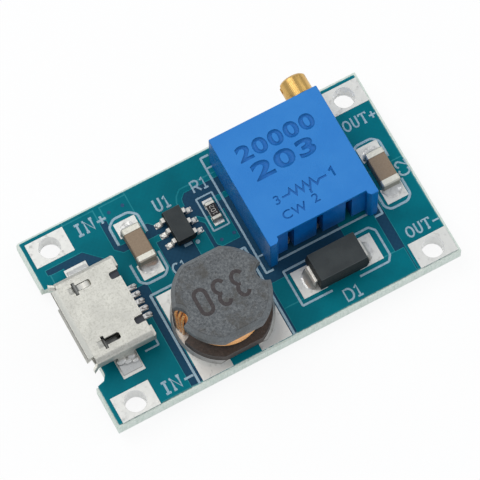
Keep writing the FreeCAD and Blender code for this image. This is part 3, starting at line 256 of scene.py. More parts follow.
def paint_panel():
    """The board itself: mask on its two faces, thin at its border, and bare laminate on its rim and edges."""
    board = bpy.context.scene.module_board
    paint = Paint("board_laminate")
    low, high = span("board")
    middle, half = (low + high) / 2, (high - low) / 2
    inset_x = half.x - abs(paint.axis("X") - middle.x)
    inset_y = half.y - abs(paint.axis("Y") - middle.y)
    inset = inset_x.least(inset_y) + (paint.grain(0.35, 5.0, 0.7) - 0.5) * 0.22
    face = abs(paint.facing("Z")).rise(0.75, 0.95)
    masked = inset.rise(board.bare_rim - 0.05, board.bare_rim + 0.03) * face
    fibres = paint.grain(0.16, 6.0, 0.75, (1.0, 1.0, 0.18))
    bare = paint.ramp(fibres, (0.25, srgb(196, 212, 200)), (0.5, srgb(232, 240, 232)),
                      (0.8, srgb(250, 252, 247)))
    layers = (paint.axis("Z") * 34.0 + paint.grain(0.8) * 5.0).wave()
    bare = paint.blend(layers * 0.3, bare, srgb(196, 212, 198))
    weave = paint.weave()
    mask = paint.cloudy(tuple(board.bare_colour), srgb(32, 70, 96))
    mask = paint.blend(weave * 0.05, mask, srgb(60, 110, 150), "SCREEN")
    thin = 1.0 - inset.rise(board.bare_rim + 0.04, board.bare_rim + 0.14)
    mask = paint.blend(thin * 0.85, mask, srgb(104, 164, 166))
    normal = paint.bump(fibres * (1.0 - masked) + weave * 0.03, 0.05)
    return paint.done(Base_Color=paint.blend(masked, bare, mask), Normal=normal,
                      Roughness=0.72 - masked * 0.42, Specular_IOR_Level=0.05)


def paint_ink():
    """White marking ink, slightly grey where it lies thin over the mask."""
    paint = Paint("marking_ink")
    thin = paint.grain(0.14, 5.0, 0.7)
    colour = tuple(bpy.context.scene.module_board.ink_colour)
    tint = paint.blend(thin.rise(0.45, 0.75), colour, srgb(112, 148, 166))
    return paint.done(Base_Color=tint, Roughness=0.55, Specular_IOR_Level=0.2, Normal=paint.bump(thin, 0.01))


def paint_tin(name, tint, dark, wave=0.6, rough=0.3, relief=0.03, metal=0.6, side=None, share=0.0,
              side_metal=0.6):
    """Tin or solder, smooth but never level, with duller patches of flux, and where a side tone is given,
    steep faces painted in it: painted shade where it is darker, painted light where it is lighter.
    """
    paint = Paint(name)
    swell = paint.grain(wave, 3.0, 0.5)
    fine = paint.grain(0.07, 4.0, 0.7)
    stain = paint.grain(0.45, 5.0, 0.65).rise(0.52, 0.75)
    colour = paint.blend(stain * 0.55, tint, dark)
    colour = paint.blend(fine * 0.25, colour, srgb(255, 255, 255), "SOFT_LIGHT")
    # Painted light and shade: steep faces take the side tone instead of the tin's own colour.
    if side:
        steep = 1.0 - abs(paint.facing("Z")).rise(0.35, 0.9)
        colour = paint.blend(steep * share, colour, side)
        metal = steep * (side_metal - metal) + metal
    normal = paint.bump(swell, relief)
    normal = paint.bump(fine, relief * 0.12, normal, 0.7)
    return paint.done(Base_Color=colour, Metallic=metal, Roughness=fine * 0.2 + stain * 0.16 + rough,
                      Normal=normal)


def paint_spring():
    """Latch strip: as bright as the shell where it lies level with it, and painted dark on its hook and down
    inside, as painted shade under the sheet.
    """
    paint = Paint("spring_strip")
    low, high = span("usb_shell")
    level = paint.axis("Z").rise(high.z - 0.6, high.z - 0.4)
    tongue = paint.axis("X").rise(low.x + LATCH_START + 0.32, low.x + LATCH_START + 0.46)
    fine = paint.grain(0.08, 4.0, 0.7)
    # Painted shade: the hook and the strip down inside are painted dark grey; only the part level with the
    # shell keeps its bright tone.
    colour = paint.blend(level * tongue, srgb(98, 100, 100), srgb(224, 222, 214))
    colour = paint.blend(fine * 0.3, colour, srgb(150, 148, 140))
    return paint.done(Base_Color=colour, Metallic=0.6, Roughness=fine * 0.2 + 0.32,
                      Normal=paint.bump(fine, 0.004))


def paint_shell():
    """Nickel plated sheet with rolling marks and a warm cast, painted shade along its folds and its cut front
    edge, and a painted light on the flare of its top lip.
    """
    paint = Paint("nickel_sheet")
    rolled = paint.grain(0.12, 5.0, 0.7, (0.12, 1.0, 1.0))
    cloud = paint.grain(1.6, 4.0)
    colour = paint.blend(cloud.rise(0.3, 0.7), tuple(bpy.context.scene.module_metals.shell_colour),
                         srgb(206, 205, 197))
    colour = paint.blend(rolled.rise(0.5, 0.9) * 0.3, colour, srgb(158, 156, 146))
    colour = paint.blend(paint.grain(0.17, 6.0, 0.8).rise(0.46, 0.64) * 0.5, colour, srgb(152, 151, 140))
    low, high = span("usb_shell")
    along = paint.axis("X")
    upper = paint.axis("Z").rise(high.z - 0.35, high.z - 0.2)
    # Painted light: the flare of the top lip is painted as light as the flat top, so that its tilt shows no
    # shade.
    flare_painted_light = (1.0 - along.rise(low.x + SHELL_FLARE - 0.1, low.x + SHELL_FLARE + 0.1)) * upper
    colour = paint.blend(flare_painted_light * 0.8, colour, srgb(216, 216, 208))
    # Painted shade: a dark line along the cut front edge of the top sheet and along the fold of the near
    # wall; the same mask gives these a bump.
    cut_end = (1.0 - along.rise(low.x + 0.03, low.x + 0.09)) * upper
    side = 1.0 - abs(paint.axis("Y") - (low.y + SHELL_FOLD)).rise(0.01, 0.05)
    fold_and_edge_shade = cut_end.most(side * along.rise(low.x + SHELL_FLARE, low.x + SHELL_FLARE + 0.1) * upper * 0.7)
    colour = paint.blend(fold_and_edge_shade * (paint.grain(0.3) * 0.5 + 0.5), colour, srgb(66, 64, 56))
    normal = paint.bump(rolled, 0.008)
    normal = paint.bump(1.0 - fold_and_edge_shade, 0.03, normal)
    normal = paint.bump(paint.grain(0.5, 3.0), 0.012, normal, 0.6)
    return paint.done(Base_Color=colour, Metallic=0.65, Roughness=rolled * 0.2 + 0.3, Normal=normal)


def paint_brass():
    """Turned brass with fine tool rings round its axis and a touch of tarnish."""
    metals = bpy.context.scene.module_metals
    paint = Paint("turned_brass")
    rings = (paint.axis("Y") * 62.0 + paint.grain(0.4) * 2.0).wave()
    tarnish = paint.grain(0.5, 5.0, 0.65).rise(0.5, 0.8)
    colour = paint.blend(tarnish * 0.6, tuple(metals.brass_colour), srgb(140, 92, 40))
    return paint.done(Base_Color=colour, Metallic=0.95, Roughness=rings * 0.1 + tarnish * 0.16 + 0.2,
                      Normal=paint.bump(rings, 0.008))


def paint_wire():
    """Copper under clear enamel, darker where the varnish gathers."""
    metals = bpy.context.scene.module_metals
    paint = Paint("enamelled_copper")
    varnish = paint.grain(0.35, 4.0, 0.6).rise(0.5, 0.8)
    colour = paint.blend(varnish * 0.55, tuple(metals.wire_colour), srgb(160, 84, 36))
    return paint.done(Base_Color=colour, Metallic=0.35, Roughness=0.26 + varnish * 0.15, Coat_Weight=0.6,
                      Coat_Roughness=0.1, Normal=paint.bump(paint.grain(0.12, 4.0), 0.01))


def paint_moulding(name, colour, shade, rough=0.5, gloss=0.25, relief=0.02, size=0.09, side=None, arris=None):
    """Moulded plastic: an even colour with a fine tooled grain and faint flow clouds, and where they are
    given, sides painted in a deeper tone as painted shade, under a painted highlight on the arris."""
    paint = Paint(name)
    tooth = paint.grain(size, 4.0, 0.65)
    tint = paint.cloudy(colour, shade, 1.8, 3.0)
    if side:
        # Painted shade and highlight: sides take the darker side tone, and a band where the top turns down
        # takes a painted highlight.
        up = paint.facing("Z")
        tint = paint.blend(up.rise(0.3, 0.8), side, tint)
        tint = paint.blend(up.rise(0.4, 0.6) * (1.0 - up.rise(0.8, 0.96)) * 0.5, tint, arris)
    return paint.done(Base_Color=tint, Roughness=tooth * 0.22 + (rough - 0.1), Specular_IOR_Level=gloss,
                      Normal=paint.bump(tooth, relief))


def paint_trimmer_case():
    """Blue moulded case: one blue painted as a pale satin top face and deeper, glossier sides, as painted
    light and shade, with its sunk marks painted darker as painted shade.
    """
    plastics = bpy.context.scene.module_plastics
    paint = Paint("blue_case")
    roof = span("trimmer_housing")[1].z
    up = paint.facing("Z").rise(0.3, 0.9)
    tooth = paint.grain(0.1, 4.0, 0.65)
    top = paint.cloudy(tuple(plastics.case_top_colour), srgb(52, 132, 209), 2.4)
    # Painted shade: the floors and walls of the sunk marks are painted a darker blue.
    sunk = 1.0 - paint.axis("Z").rise(roof - 0.06, roof - 0.03)
    top = paint.blend(sunk * 0.6, top, srgb(20, 88, 168))
    # Painted light and shade: the top face takes the pale blue and the sides a deeper blue, two tones of one
    # case.
    side = paint.cloudy(tuple(plastics.case_side_colour), srgb(4, 106, 178), 2.4)
    normal = paint.bump(tooth, 0.024)
    normal = paint.bump(paint.grain(0.7, 2.0), 0.01, normal, 0.5)
    return paint.done(Base_Color=paint.blend(up, side, top), Roughness=up * 0.16 + tooth * 0.14 + 0.22,
                      Specular_IOR_Level=0.18, Normal=normal)


def paint_ferrite():
    """Pressed ferrite: grey and speckled above, darker and browner towards its foot from lacquer and painted
    shade, with a painted highlight on its chamfer and a painted shade line inside it.
    """
    paint = Paint("ferrite")
    foot_z = span("inductor_core")[0].z
    specks = paint.grain(0.16, 6.0, 0.75)
    pits = 1.0 - paint.specks(0.42).rise(0.06, 0.2)
    top = paint.ramp(specks, (0.3, srgb(56, 58, 60)), (0.5, srgb(97, 101, 104)), (0.78, srgb(142, 145, 145)))
    patches = paint.grain(1.5, 6.0, 0.7).rise(0.46, 0.64)
    top = paint.blend(patches * 0.7, top, srgb(76, 73, 68))
    top = paint.blend(paint.grain(0.28, 6.0, 0.8).rise(0.6, 0.72) * 0.5, top, srgb(56, 55, 54))
    # Partly painted shade: towards the foot the ferrite turns darker and browner, for its lacquer and for the
    # shade on the lower rim.
    foot = paint.ramp(specks, (0.3, srgb(54, 49, 47)), (0.6, srgb(82, 74, 70)), (0.85, srgb(104, 97, 92)))
    colour = paint.blend(paint.axis("Z").rise(foot_z + 2.4, foot_z + 3.0), foot, top)
    colour = paint.blend(pits * 0.6, colour, srgb(58, 57, 56))
    # Painted highlight: the chamfer, where the surface turns from up to sideways, is painted lighter.
    up = paint.facing("Z")
    painted_arris_light = up.rise(0.2, 0.4) * (1.0 - up.rise(0.75, 0.9))
    colour = paint.blend(painted_arris_light * 0.4, colour, srgb(122, 127, 129))
    # Painted shade: a thin dark line where the chamfer meets the flat top.
    painted_crease_shade = up.rise(0.86, 0.93) * (1.0 - up.rise(0.97, 0.998))
    colour = paint.blend(painted_crease_shade * 0.6, colour, srgb(50, 51, 52))
    normal = paint.bump(specks, 0.03)
    normal = paint.bump(pits, 0.02, normal, 0.6)
    return paint.done(Base_Color=colour, Roughness=specks * 0.3 + 0.38, Specular_IOR_Level=0.3, Normal=normal)


def paint_ceramic(name, colour, shade, line):
    """Fired ceramic with the faint edges of its stacked layers on the sides."""
    paint = Paint(name)
    layers = (paint.axis("Z") * 90.0 + paint.grain(0.5) * 3.0).sine().rise(0.2, 1.0)
    powder = paint.grain(0.12, 5.0, 0.7)
    side = 1.0 - abs(paint.facing("Z")).rise(0.5, 0.9)
    tint = paint.blend(powder.rise(0.3, 0.75), colour, shade)
    tint = paint.blend(layers * side * 0.35, tint, line)
    return paint.done(Base_Color=tint, Roughness=powder * 0.2 + 0.4, Specular_IOR_Level=0.3,
                      Normal=paint.bump(powder, 0.012))


def paint_mark(name, colour, shade):
    """Print or burnt marking, uneven where it soaks into the surface."""
    paint = Paint(name)
    patch = paint.grain(0.11, 5.0, 0.7)
    tint = paint.blend(patch.rise(0.4, 0.7), colour, shade)
    return paint.done(Base_Color=tint, Roughness=0.6, Normal=paint.bump(patch, 0.012))


def paint_copper_zone():
    """Mask over copper, in the colour that the user sets."""
    return paint_mask("masked_copper", tuple(bpy.context.scene.module_board.mask_colour), srgb(0, 102, 116))


# Each finish: what paints it, its name and its tones, then what sets it apart.
FINISHES = {
    "board": (paint_panel,),
    "copper_zone": (paint_copper_zone,),
    "copper_edge": (paint_mask, "thin_mask", srgb(48, 140, 150), srgb(20, 122, 134)),
    "via": (paint_mark, "tented_via", srgb(6, 72, 112), srgb(12, 60, 102)),
    "ink": (paint_ink,),
    # Painted light: the steep walls of the plated holes are painted near white, as if lit from below.
    "pad_tin": (paint_tin, "levelled_tin", srgb(216, 216, 212), srgb(164, 163, 160), 0.9, 0.36, 0.03, 0.6,
                srgb(252, 252, 250), 1.0, 0.05),
    # Painted shade: the steep sides of the contact tails are painted dark grey under their bright tops.
    "tail": (paint_tin, "tinned_tail", srgb(246, 246, 244), srgb(198, 196, 192), 0.2, 0.3, 0.05, 0.4,
             srgb(70, 72, 74), 0.7),
    "lead_tin": (paint_tin, "lead_tin", srgb(214, 211, 204), srgb(140, 134, 124), 0.3, 0.28, 0.02),
    # Painted shade: the trimmer pins are painted a dark grey tin, standing in for the shade in their slots.
    "pin": (paint_tin, "shade_darkened_pin", srgb(112, 109, 102), srgb(76, 73, 68), 0.3, 0.42, 0.02),
    # Painted shade: the steep faces of the solder are painted dark brownish grey.
    "solder": (paint_tin, "solder", srgb(206, 206, 204), srgb(120, 117, 112), 0.35, 0.2, 0.05, 0.6,
               srgb(88, 84, 76), 0.6),
    # Painted shade: the upright end faces of the plated caps are painted dark.
    "end_cap": (paint_tin, "plated_end", srgb(216, 214, 202), srgb(184, 178, 160), 0.3, 0.4, 0.03, 0.6,
                srgb(116, 108, 92), 0.6),
    "contact": (paint_tin, "gold_contact", srgb(214, 196, 150), srgb(150, 120, 70), 0.3, 0.28, 0.01),
    "shell": (paint_shell,),
    "spring": (paint_spring,),
    "brass": (paint_brass,),
    "wire": (paint_wire,),
    "case": (paint_trimmer_case,),
    "insulator": (paint_moulding, "dark_insulator", srgb(66, 70, 78), srgb(54, 57, 64)),
    # Painted shade and highlight: the last two tones are the painted dark sides and the painted light arris.
    "mould": (paint_moulding, "mould_compound", srgb(50, 55, 57), srgb(60, 65, 66), 0.56, 0.25, 0.03, 0.07,
              srgb(30, 35, 36), srgb(104, 110, 112)),
    "base": (paint_moulding, "blue_base", srgb(0, 92, 166), srgb(0, 80, 150), 0.36, 0.2, 0.02, 0.2),
    "rubber": (paint_moulding, "seal_rubber", srgb(150, 52, 36), srgb(120, 40, 30), 0.7),
    "carriage": (paint_moulding, "carriage_plastic", srgb(226, 222, 208), srgb(206, 200, 184)),
    "resistor_film": (paint_moulding, "resistor_film", srgb(28, 27, 29), srgb(40, 38, 40), 0.4),
    "film_mark": (paint_mark, "film_mark", srgb(196, 192, 184), srgb(150, 146, 140)),
    "resistor": (paint_ceramic, "resistor_ceramic", srgb(226, 226, 222), srgb(206, 206, 202),
                 srgb(190, 190, 186)),
    "alumina": (paint_ceramic, "alumina", srgb(232, 232, 226), srgb(214, 214, 208), srgb(200, 200, 194)),
    "capacitor": (paint_ceramic, "capacitor_ceramic", srgb(150, 131, 110), srgb(136, 117, 97),
                  srgb(108, 90, 77)),
    "ferrite": (paint_ferrite,),
    "ferrite_mark": (paint_mark, "burnt_mark", srgb(48, 41, 43), srgb(72, 65, 65)),
}
FINISHES_MADE = {}


def finish(key):
    """The material of that finish, made when it is first asked for."""
    if key not in FINISHES_MADE:
        painter, *given = FINISHES[key]
        FINISHES_MADE[key] = painter(*given)
    return FINISHES_MADE[key]


# ---------------------------------------------------------------- mesh tools

def span(node):
    """Lowest and highest corner of a solid, in millimetres."""
    low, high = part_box(node)
    return Vector(low) / MM, Vector(high) / MM


def middle_of(node):
    """The middle of a solid's box, in millimetres."""
    low, high = span(node)
    return (low + high) / 2


def past(node, other, axis, sign):
    """How far another solid reaches past this one, along axis 0 or 1 in the direction of sign."""
    end = 0 if sign < 0 else 1
    return sign * (span(other)[end][axis] - span(node)[end][axis])


def spot(x, y):
    """A point of the copper layout in the part's own millimetres."""
    return x + LAYOUT_X, y + LAYOUT_Y


def add_piece(name, shape, key, body=ROOT, stands_for=(), smooth=40.0):
    """Ends a drawn shape as a piece of the part: its finish, its body and what it stands for."""
    mesh = to_mesh(name, shape, smooth)
    mesh.materials.append(finish(key))
    thing = bpy.data.objects.new(name, mesh)
    bpy.context.scene.collection.objects.link(thing)
    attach(thing, body)
    if stands_for:
        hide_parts(*stands_for)
    return thing


def to_mesh(name, shape, smooth=40.0):
    """Ends a bmesh drawn in millimetres: smooth faces with edges kept sharp above that angle."""
    bmesh.ops.scale(shape, vec=(MM, MM, MM), verts=shape.verts)
    bmesh.ops.recalc_face_normals(shape, faces=shape.faces)
    mesh = bpy.data.meshes.new(name)
    shape.to_mesh(mesh)
    shape.free()
    mesh.shade_smooth()
    mesh.set_sharp_from_angle(angle=math.radians(smooth))
    return mesh


def solid_shape(node):
    """A clean copy of a solid's mesh in millimetres, with its flat faces joined up."""
    shape = bmesh.new()
    shape.from_mesh(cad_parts[node].data)
    bmesh.ops.scale(shape, vec=(1 / MM, 1 / MM, 1 / MM), verts=shape.verts)
    bmesh.ops.remove_doubles(shape, verts=shape.verts, dist=MERGE)
    bmesh.ops.dissolve_limit(shape, angle_limit=math.radians(1.5), verts=shape.verts, edges=shape.edges)
    return shape


def even_shading(thing):
    """Lets the large faces of a piece keep their flat look beside its rounded edges."""
    thing.modifiers.new("even_shading", "WEIGHTED_NORMAL").keep_sharp = True


def round_edges(thing, width, segments=2, angle=34.0):
    """Takes the sharpness off the edges, as plating, moulding or handling does."""
    bevel = thing.modifiers.new("worn_edges", "BEVEL")
    bevel.width = width * MM
    bevel.segments = segments
    bevel.limit_method = "ANGLE"
    bevel.angle_limit = math.radians(angle)
    bevel.use_clamp_overlap = True


def soften(node, key, width, segments=2, body=ROOT, angle=34.0):
    """Stands a copy of the solid with rounded edges in its place."""
    thing = add_piece(node + "_finish", solid_shape(node), key, body, (node,), angle)
    round_edges(thing, width, segments, angle)
    even_shading(thing)
    return thing


def carve(thing, cutter, smooth=40.0):
    """Cuts a closed shape out of a piece and keeps the result as its mesh, crisp above that angle."""
    context = bpy.context
    bmesh.ops.remove_doubles(cutter, verts=cutter.verts, dist=MERGE)
    tool = bpy.data.objects.new("cutter", to_mesh("cutter", cutter))
    context.scene.collection.objects.link(tool)
    for modifier in [m for m in thing.modifiers if m.type == "WEIGHTED_NORMAL"]:
        thing.modifiers.remove(modifier)
    cut = thing.modifiers.new("cut", "BOOLEAN")
    cut.operation = "DIFFERENCE"
    cut.solver = "EXACT"
    cut.use_self = True
    cut.object = tool
    context.view_layer.update()
    result = bpy.data.meshes.new_from_object(thing.evaluated_get(context.evaluated_depsgraph_get()))
    thing.modifiers.clear()
    thing.data = result
    result.set_sharp_from_angle(angle=math.radians(smooth))
    even_shading(thing)
    bpy.data.objects.remove(tool)


def add_text(shape, words, x, y, size, stretch, weight, low, high):
    """Adds upright letters between two heights, as closed shapes for cutting."""
    curve = bpy.data.curves.new("words", "FONT")
    curve.body = words
    curve.size = size
    curve.offset = weight
    curve.space_character = 1.12
    curve.extrude = (high - low) / 2
    curve.resolution_u = 4
    carrier = bpy.data.objects.new("words", curve)
    mesh = bpy.data.meshes.new_from_object(carrier)
    bpy.data.objects.remove(carrier)
    mesh.transform(Matrix.Translation((x, y, (low + high) / 2)) @ Matrix.Diagonal((stretch, 1, 1, 1)))
    shape.from_mesh(mesh)
    bpy.data.meshes.remove(mesh)


def add_slab(shape, outline, low, high):
    """Adds a flat plate with that outline between two heights."""
    face = shape.faces.new([shape.verts.new((x, y, low)) for x, y in outline])
    pushed = bmesh.ops.extrude_face_region(shape, geom=[face])["geom"]
    moved = [item for item in pushed if isinstance(item, bmesh.types.BMVert)]
    bmesh.ops.translate(shape, vec=(0, 0, high - low), verts=moved)


def add_ribbon(shape, points, width, low, high):
    """Adds a flat band of one width along a line with sharp corners."""
    sides = ([], [])
    for index, (x, y) in enumerate(points):
        ways = [(Vector(points[last]) - Vector(points[first])).normalized()
                for first, last in ((index - 1, index), (index, index + 1))
                if first >= 0 and last < len(points)]
        along = sum(ways, Vector((0, 0))).normalized()
        across = Vector((-along.y, along.x))
        lean = max(0.45, across.dot(Vector((-ways[0].y, ways[0].x))))
        for side, sign in zip(sides, (1, -1)):
            side.append(Vector((x, y)) + across * (sign * width / 2 / lean))
    add_slab(shape, sides[0] + sides[1][::-1], low, high)


def add_drill(shape, x, y, z, radius, depth, segments):
    """Adds an upright round bar for cutting a hole, about that point."""
    place = Matrix.Translation((x, y, z))
    bmesh.ops.create_cone(shape, cap_ends=True, segments=segments, radius1=radius, radius2=radius,
                          depth=depth, matrix=place)


def bridge(shape, rings):
    """Joins each ring of points to the next one."""
    for first, second in zip(rings, rings[1:]):
        for side in range(len(first)):
            after = (side + 1) % len(first)
            shape.faces.new((first[side], first[after], second[after], second[side]))


def add_tube(shape, rings):
    """Joins the rings of points and closes both ends."""
    bridge(shape, rings)
    shape.faces.new(rings[0])
    shape.faces.new(rings[-1])


def add_cord(shape, points, radius, sides=10):
    """Adds a round wire along a line of points."""
    turns = [2 * math.pi * side / sides for side in range(sides)]
    rings = []
    for index, point in enumerate(points):
        along = (points[min(index + 1, len(points) - 1)] - points[max(index - 1, 0)]).normalized()
        across = along.cross(Vector((0, 0, 1)) if abs(along.z) < 0.9 else Vector((0, 1, 0))).normalized()
        up = across.cross(along)
        rings.append([
            shape.verts.new(point + across * (radius * math.cos(turn)) + up * (radius * math.sin(turn)))
            for turn in turns])
    add_tube(shape, rings)


def coat(node, key):
    """Gives a solid that keeps its own shape a better surface."""
    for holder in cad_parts[node].material_slots:
        holder.material = finish(key)


def rounded(points, radius, closed=False, steps=4):
    """The same line with its corners turned into small arcs."""
    count = len(points)
    line = []
    for index, (x, y) in enumerate(points):
        corner = Vector((x, y))
        if not closed and index in (0, count - 1):
            line.append(corner)
            continue
        before = Vector(points[index - 1]) - corner
        after = Vector(points[(index + 1) % count]) - corner
        reach = min(radius, before.length / 2, after.length / 2)
        start = corner + before.normalized() * reach
        end = corner + after.normalized() * reach
        for step in range(steps + 1):
            t = step / steps
            line.append(start.lerp(corner, t).lerp(corner.lerp(end, t), t))
    if closed:
        line.append(line[0])
    return [(point.x, point.y) for point in line]


def add_lines(shape, lines, width, base, height):
    """Adds printed lines: round cords pressed flat to the given height above base."""
    curve = bpy.data.curves.new("lines", "CURVE")
    curve.dimensions = "3D"
    curve.bevel_depth = width / 2
    curve.bevel_resolution = 2
    curve.use_fill_caps = True
    for line in lines:
        closed = len(line) > 2 and line[0] == line[-1]
        points = line[:-1] if closed else line
        spline = curve.splines.new("POLY")
        spline.points.add(len(points) - 1)
        for point, (x, y) in zip(spline.points, points):
            point.co = (x, y, 0, 1)
        spline.use_cyclic_u = closed
    carrier = bpy.data.objects.new("lines", curve)
    mesh = bpy.data.meshes.new_from_object(carrier)
    bpy.data.objects.remove(carrier)
    flatness = height / width
    for vertex in mesh.vertices:
        vertex.co.z = base + height / 2 + vertex.co.z * flatness
    shape.from_mesh(mesh)
    bpy.data.meshes.remove(mesh)


def add_lump(shape, centre, radii, seed):
    """Adds a frozen drop of solder that sits on its land."""
    made = bmesh.ops.create_icosphere(shape, subdivisions=3, radius=1.0)["verts"]
    for vertex in made:
        way = vertex.co.copy()
        swell = 1.0 + 0.16 * noise.noise(way * 1.6 + Vector((seed, seed * 0.7, 0)))
        vertex.co = Vector(centre) + Vector((way.x * radii[0], way.y * radii[1], way.z * radii[2])) * swell
        vertex.co.z = max(vertex.co.z, LAND_TOP)


def add_fillet(shape, node, axis, sign, sunk, reach, spare, height, seed):
    """Adds the hollow-faced solder fillet that climbs from the land to one face of a node.

    The face looks along axis 0 or 1 in the direction of sign. The fillet starts sunk inside it, runs out
    by reach, and is wider than the face by spare."""
    low, high = span(node)
    beside = 1 - axis
    foot = (low + high) / 2
    foot.z = 0
    foot[axis] = (low if sign < 0 else high)[axis] - sign * sunk
    out, across = Vector((0, 0, 0)), Vector((0, 0, 0))
    out[axis] = sign * reach
    across[beside] = 1
    width = high[beside] - low[beside] + spare
    grid = []
    for row in range(FILLET_ROWS):
        t = row / (FILLET_ROWS - 1)
        line = []
        for column in range(FILLET_COLUMNS):
            s = 2 * column / (FILLET_COLUMNS - 1) - 1
            narrow = 1 - 0.22 * t ** 2
            edge = 1 - abs(s) ** 5
            climb = height * (1 - t) ** 2.6 * (0.55 + 0.45 * edge)
            ripple = 0.035 * height * noise.noise(Vector((s * 2.2 + seed, t * 2.0, seed)))
            run = t * (0.5 + 0.5 * math.sqrt(max(0.0, 1 - s * s)))
            spread = foot + out * run + across * (s * width / 2 * narrow)
            line.append(shape.verts.new((spread.x, spread.y, LAND_TOP + max(0.012, climb + ripple))))
        grid.append(line)
    for upper, lower in zip(grid, grid[1:]):
        for index in range(FILLET_COLUMNS - 1):
            shape.faces.new((upper[index], upper[index + 1], lower[index + 1], lower[index]))
    made = set(sum(grid, []))
    rim = [edge for edge in shape.edges if edge.is_boundary and edge.verts[0] in made]
    skirt = bmesh.ops.extrude_edge_only(shape, edges=rim)["geom"]
    for item in skirt:
        if isinstance(item, bmesh.types.BMVert):
            item.co.z = LAND_TOP


# ---------------------------------------------------------------- lettering

def arc(x, y, across, up, start, end, steps=10):
    """Points on part of an ellipse, angles in degrees from the right, anticlockwise."""
    turns = [math.radians(start + (end - start) * step / steps) for step in range(steps + 1)]
    return [(x + across * math.cos(turn), y + up * math.sin(turn)) for turn in turns]


# Plain stroke letters: the width of each and its lines, when it is 1 high.
GLYPHS = {
    "0": (0.6, [arc(0.3, 0.8, 0.3, 0.2, 0, 180) + arc(0.3, 0.2, 0.3, 0.2, 180, 360) + [(0.6, 0.8)]]),
    "1": (0.4, [[(0.02, 0.8), (0.22, 1.0), (0.22, 0.0)], [(0.0, 0.0), (0.44, 0.0)]]),
    "2": (0.6, [arc(0.3, 0.72, 0.28, 0.28, 165, -35) + [(0.02, 0.0), (0.6, 0.0)]]),
    "3": (0.6, [arc(0.28, 0.75, 0.26, 0.25, 155, -80) + arc(0.28, 0.26, 0.3, 0.26, 80, -155)]),
    "+": (0.7, [[(0.0, 0.42), (0.7, 0.42)], [(0.35, 0.07), (0.35, 0.77)]]),
    "-": (0.7, [[(0.0, 0.42), (0.7, 0.42)]]),
    "C": (0.66, [arc(0.38, 0.5, 0.36, 0.5, 52, 308, 14)]),
    "D": (0.66, [[(0.0, 0.0), (0.0, 1.0), (0.3, 1.0)] + arc(0.3, 0.5, 0.36, 0.5, 80, -80)
                 + [(0.3, 0.0), (0.0, 0.0)]]),
    "I": (0.4, [[(0.2, 0.0), (0.2, 1.0)], [(0.0, 1.0), (0.4, 1.0)], [(0.0, 0.0), (0.4, 0.0)]]),
    "N": (0.78, [[(0.0, 0.0), (0.24, 0.0)], [(0.12, 0.0), (0.12, 1.0), (0.66, 0.0), (0.66, 1.0)],
                 [(0.0, 1.0), (0.14, 1.0)], [(0.54, 1.0), (0.78, 1.0)]]),
    "O": (0.72, [arc(0.36, 0.5, 0.34, 0.5, 0, 360, 20)]),
    "R": (0.64, [[(0.0, 0.0), (0.0, 1.0), (0.3, 1.0)] + arc(0.34, 0.74, 0.26, 0.26, 80, -80)
                 + [(0.0, 0.48)], [(0.3, 0.48), (0.64, 0.0)]]),
    "T": (0.74, [[(0.0, 0.82), (0.0, 1.0), (0.74, 1.0), (0.74, 0.82)], [(0.37, 1.0), (0.37, 0.0)],
                 [(0.22, 0.0), (0.52, 0.0)]]),
    "U": (0.72, [[(0.1, 1.0), (0.1, 0.36)] + arc(0.36, 0.3, 0.26, 0.3, 180, 360) + [(0.62, 1.0)],
                 [(0.0, 1.0), (0.2, 1.0)], [(0.52, 1.0), (0.72, 1.0)]]),
}


def lettering(text, x, y, height, gap=0.2, turn=0.0, wide=1.0):
    """Lines of a short text whose lower left corner is at x, y."""
    lines = []
    along = 0.0
    swing = Matrix.Rotation(math.radians(turn), 2)
    for letter in text:
        width, strokes = GLYPHS[letter]
        for stroke in strokes:
            line = []
            for across, up in stroke:
                place = swing @ Vector(((along + across) * height * wide, up * height))
                line.append((x + place.x, y + place.y))
            lines.append(line)
        along += width + gap
    return lines


# ---------------------------------------------------------------- the layout of the board

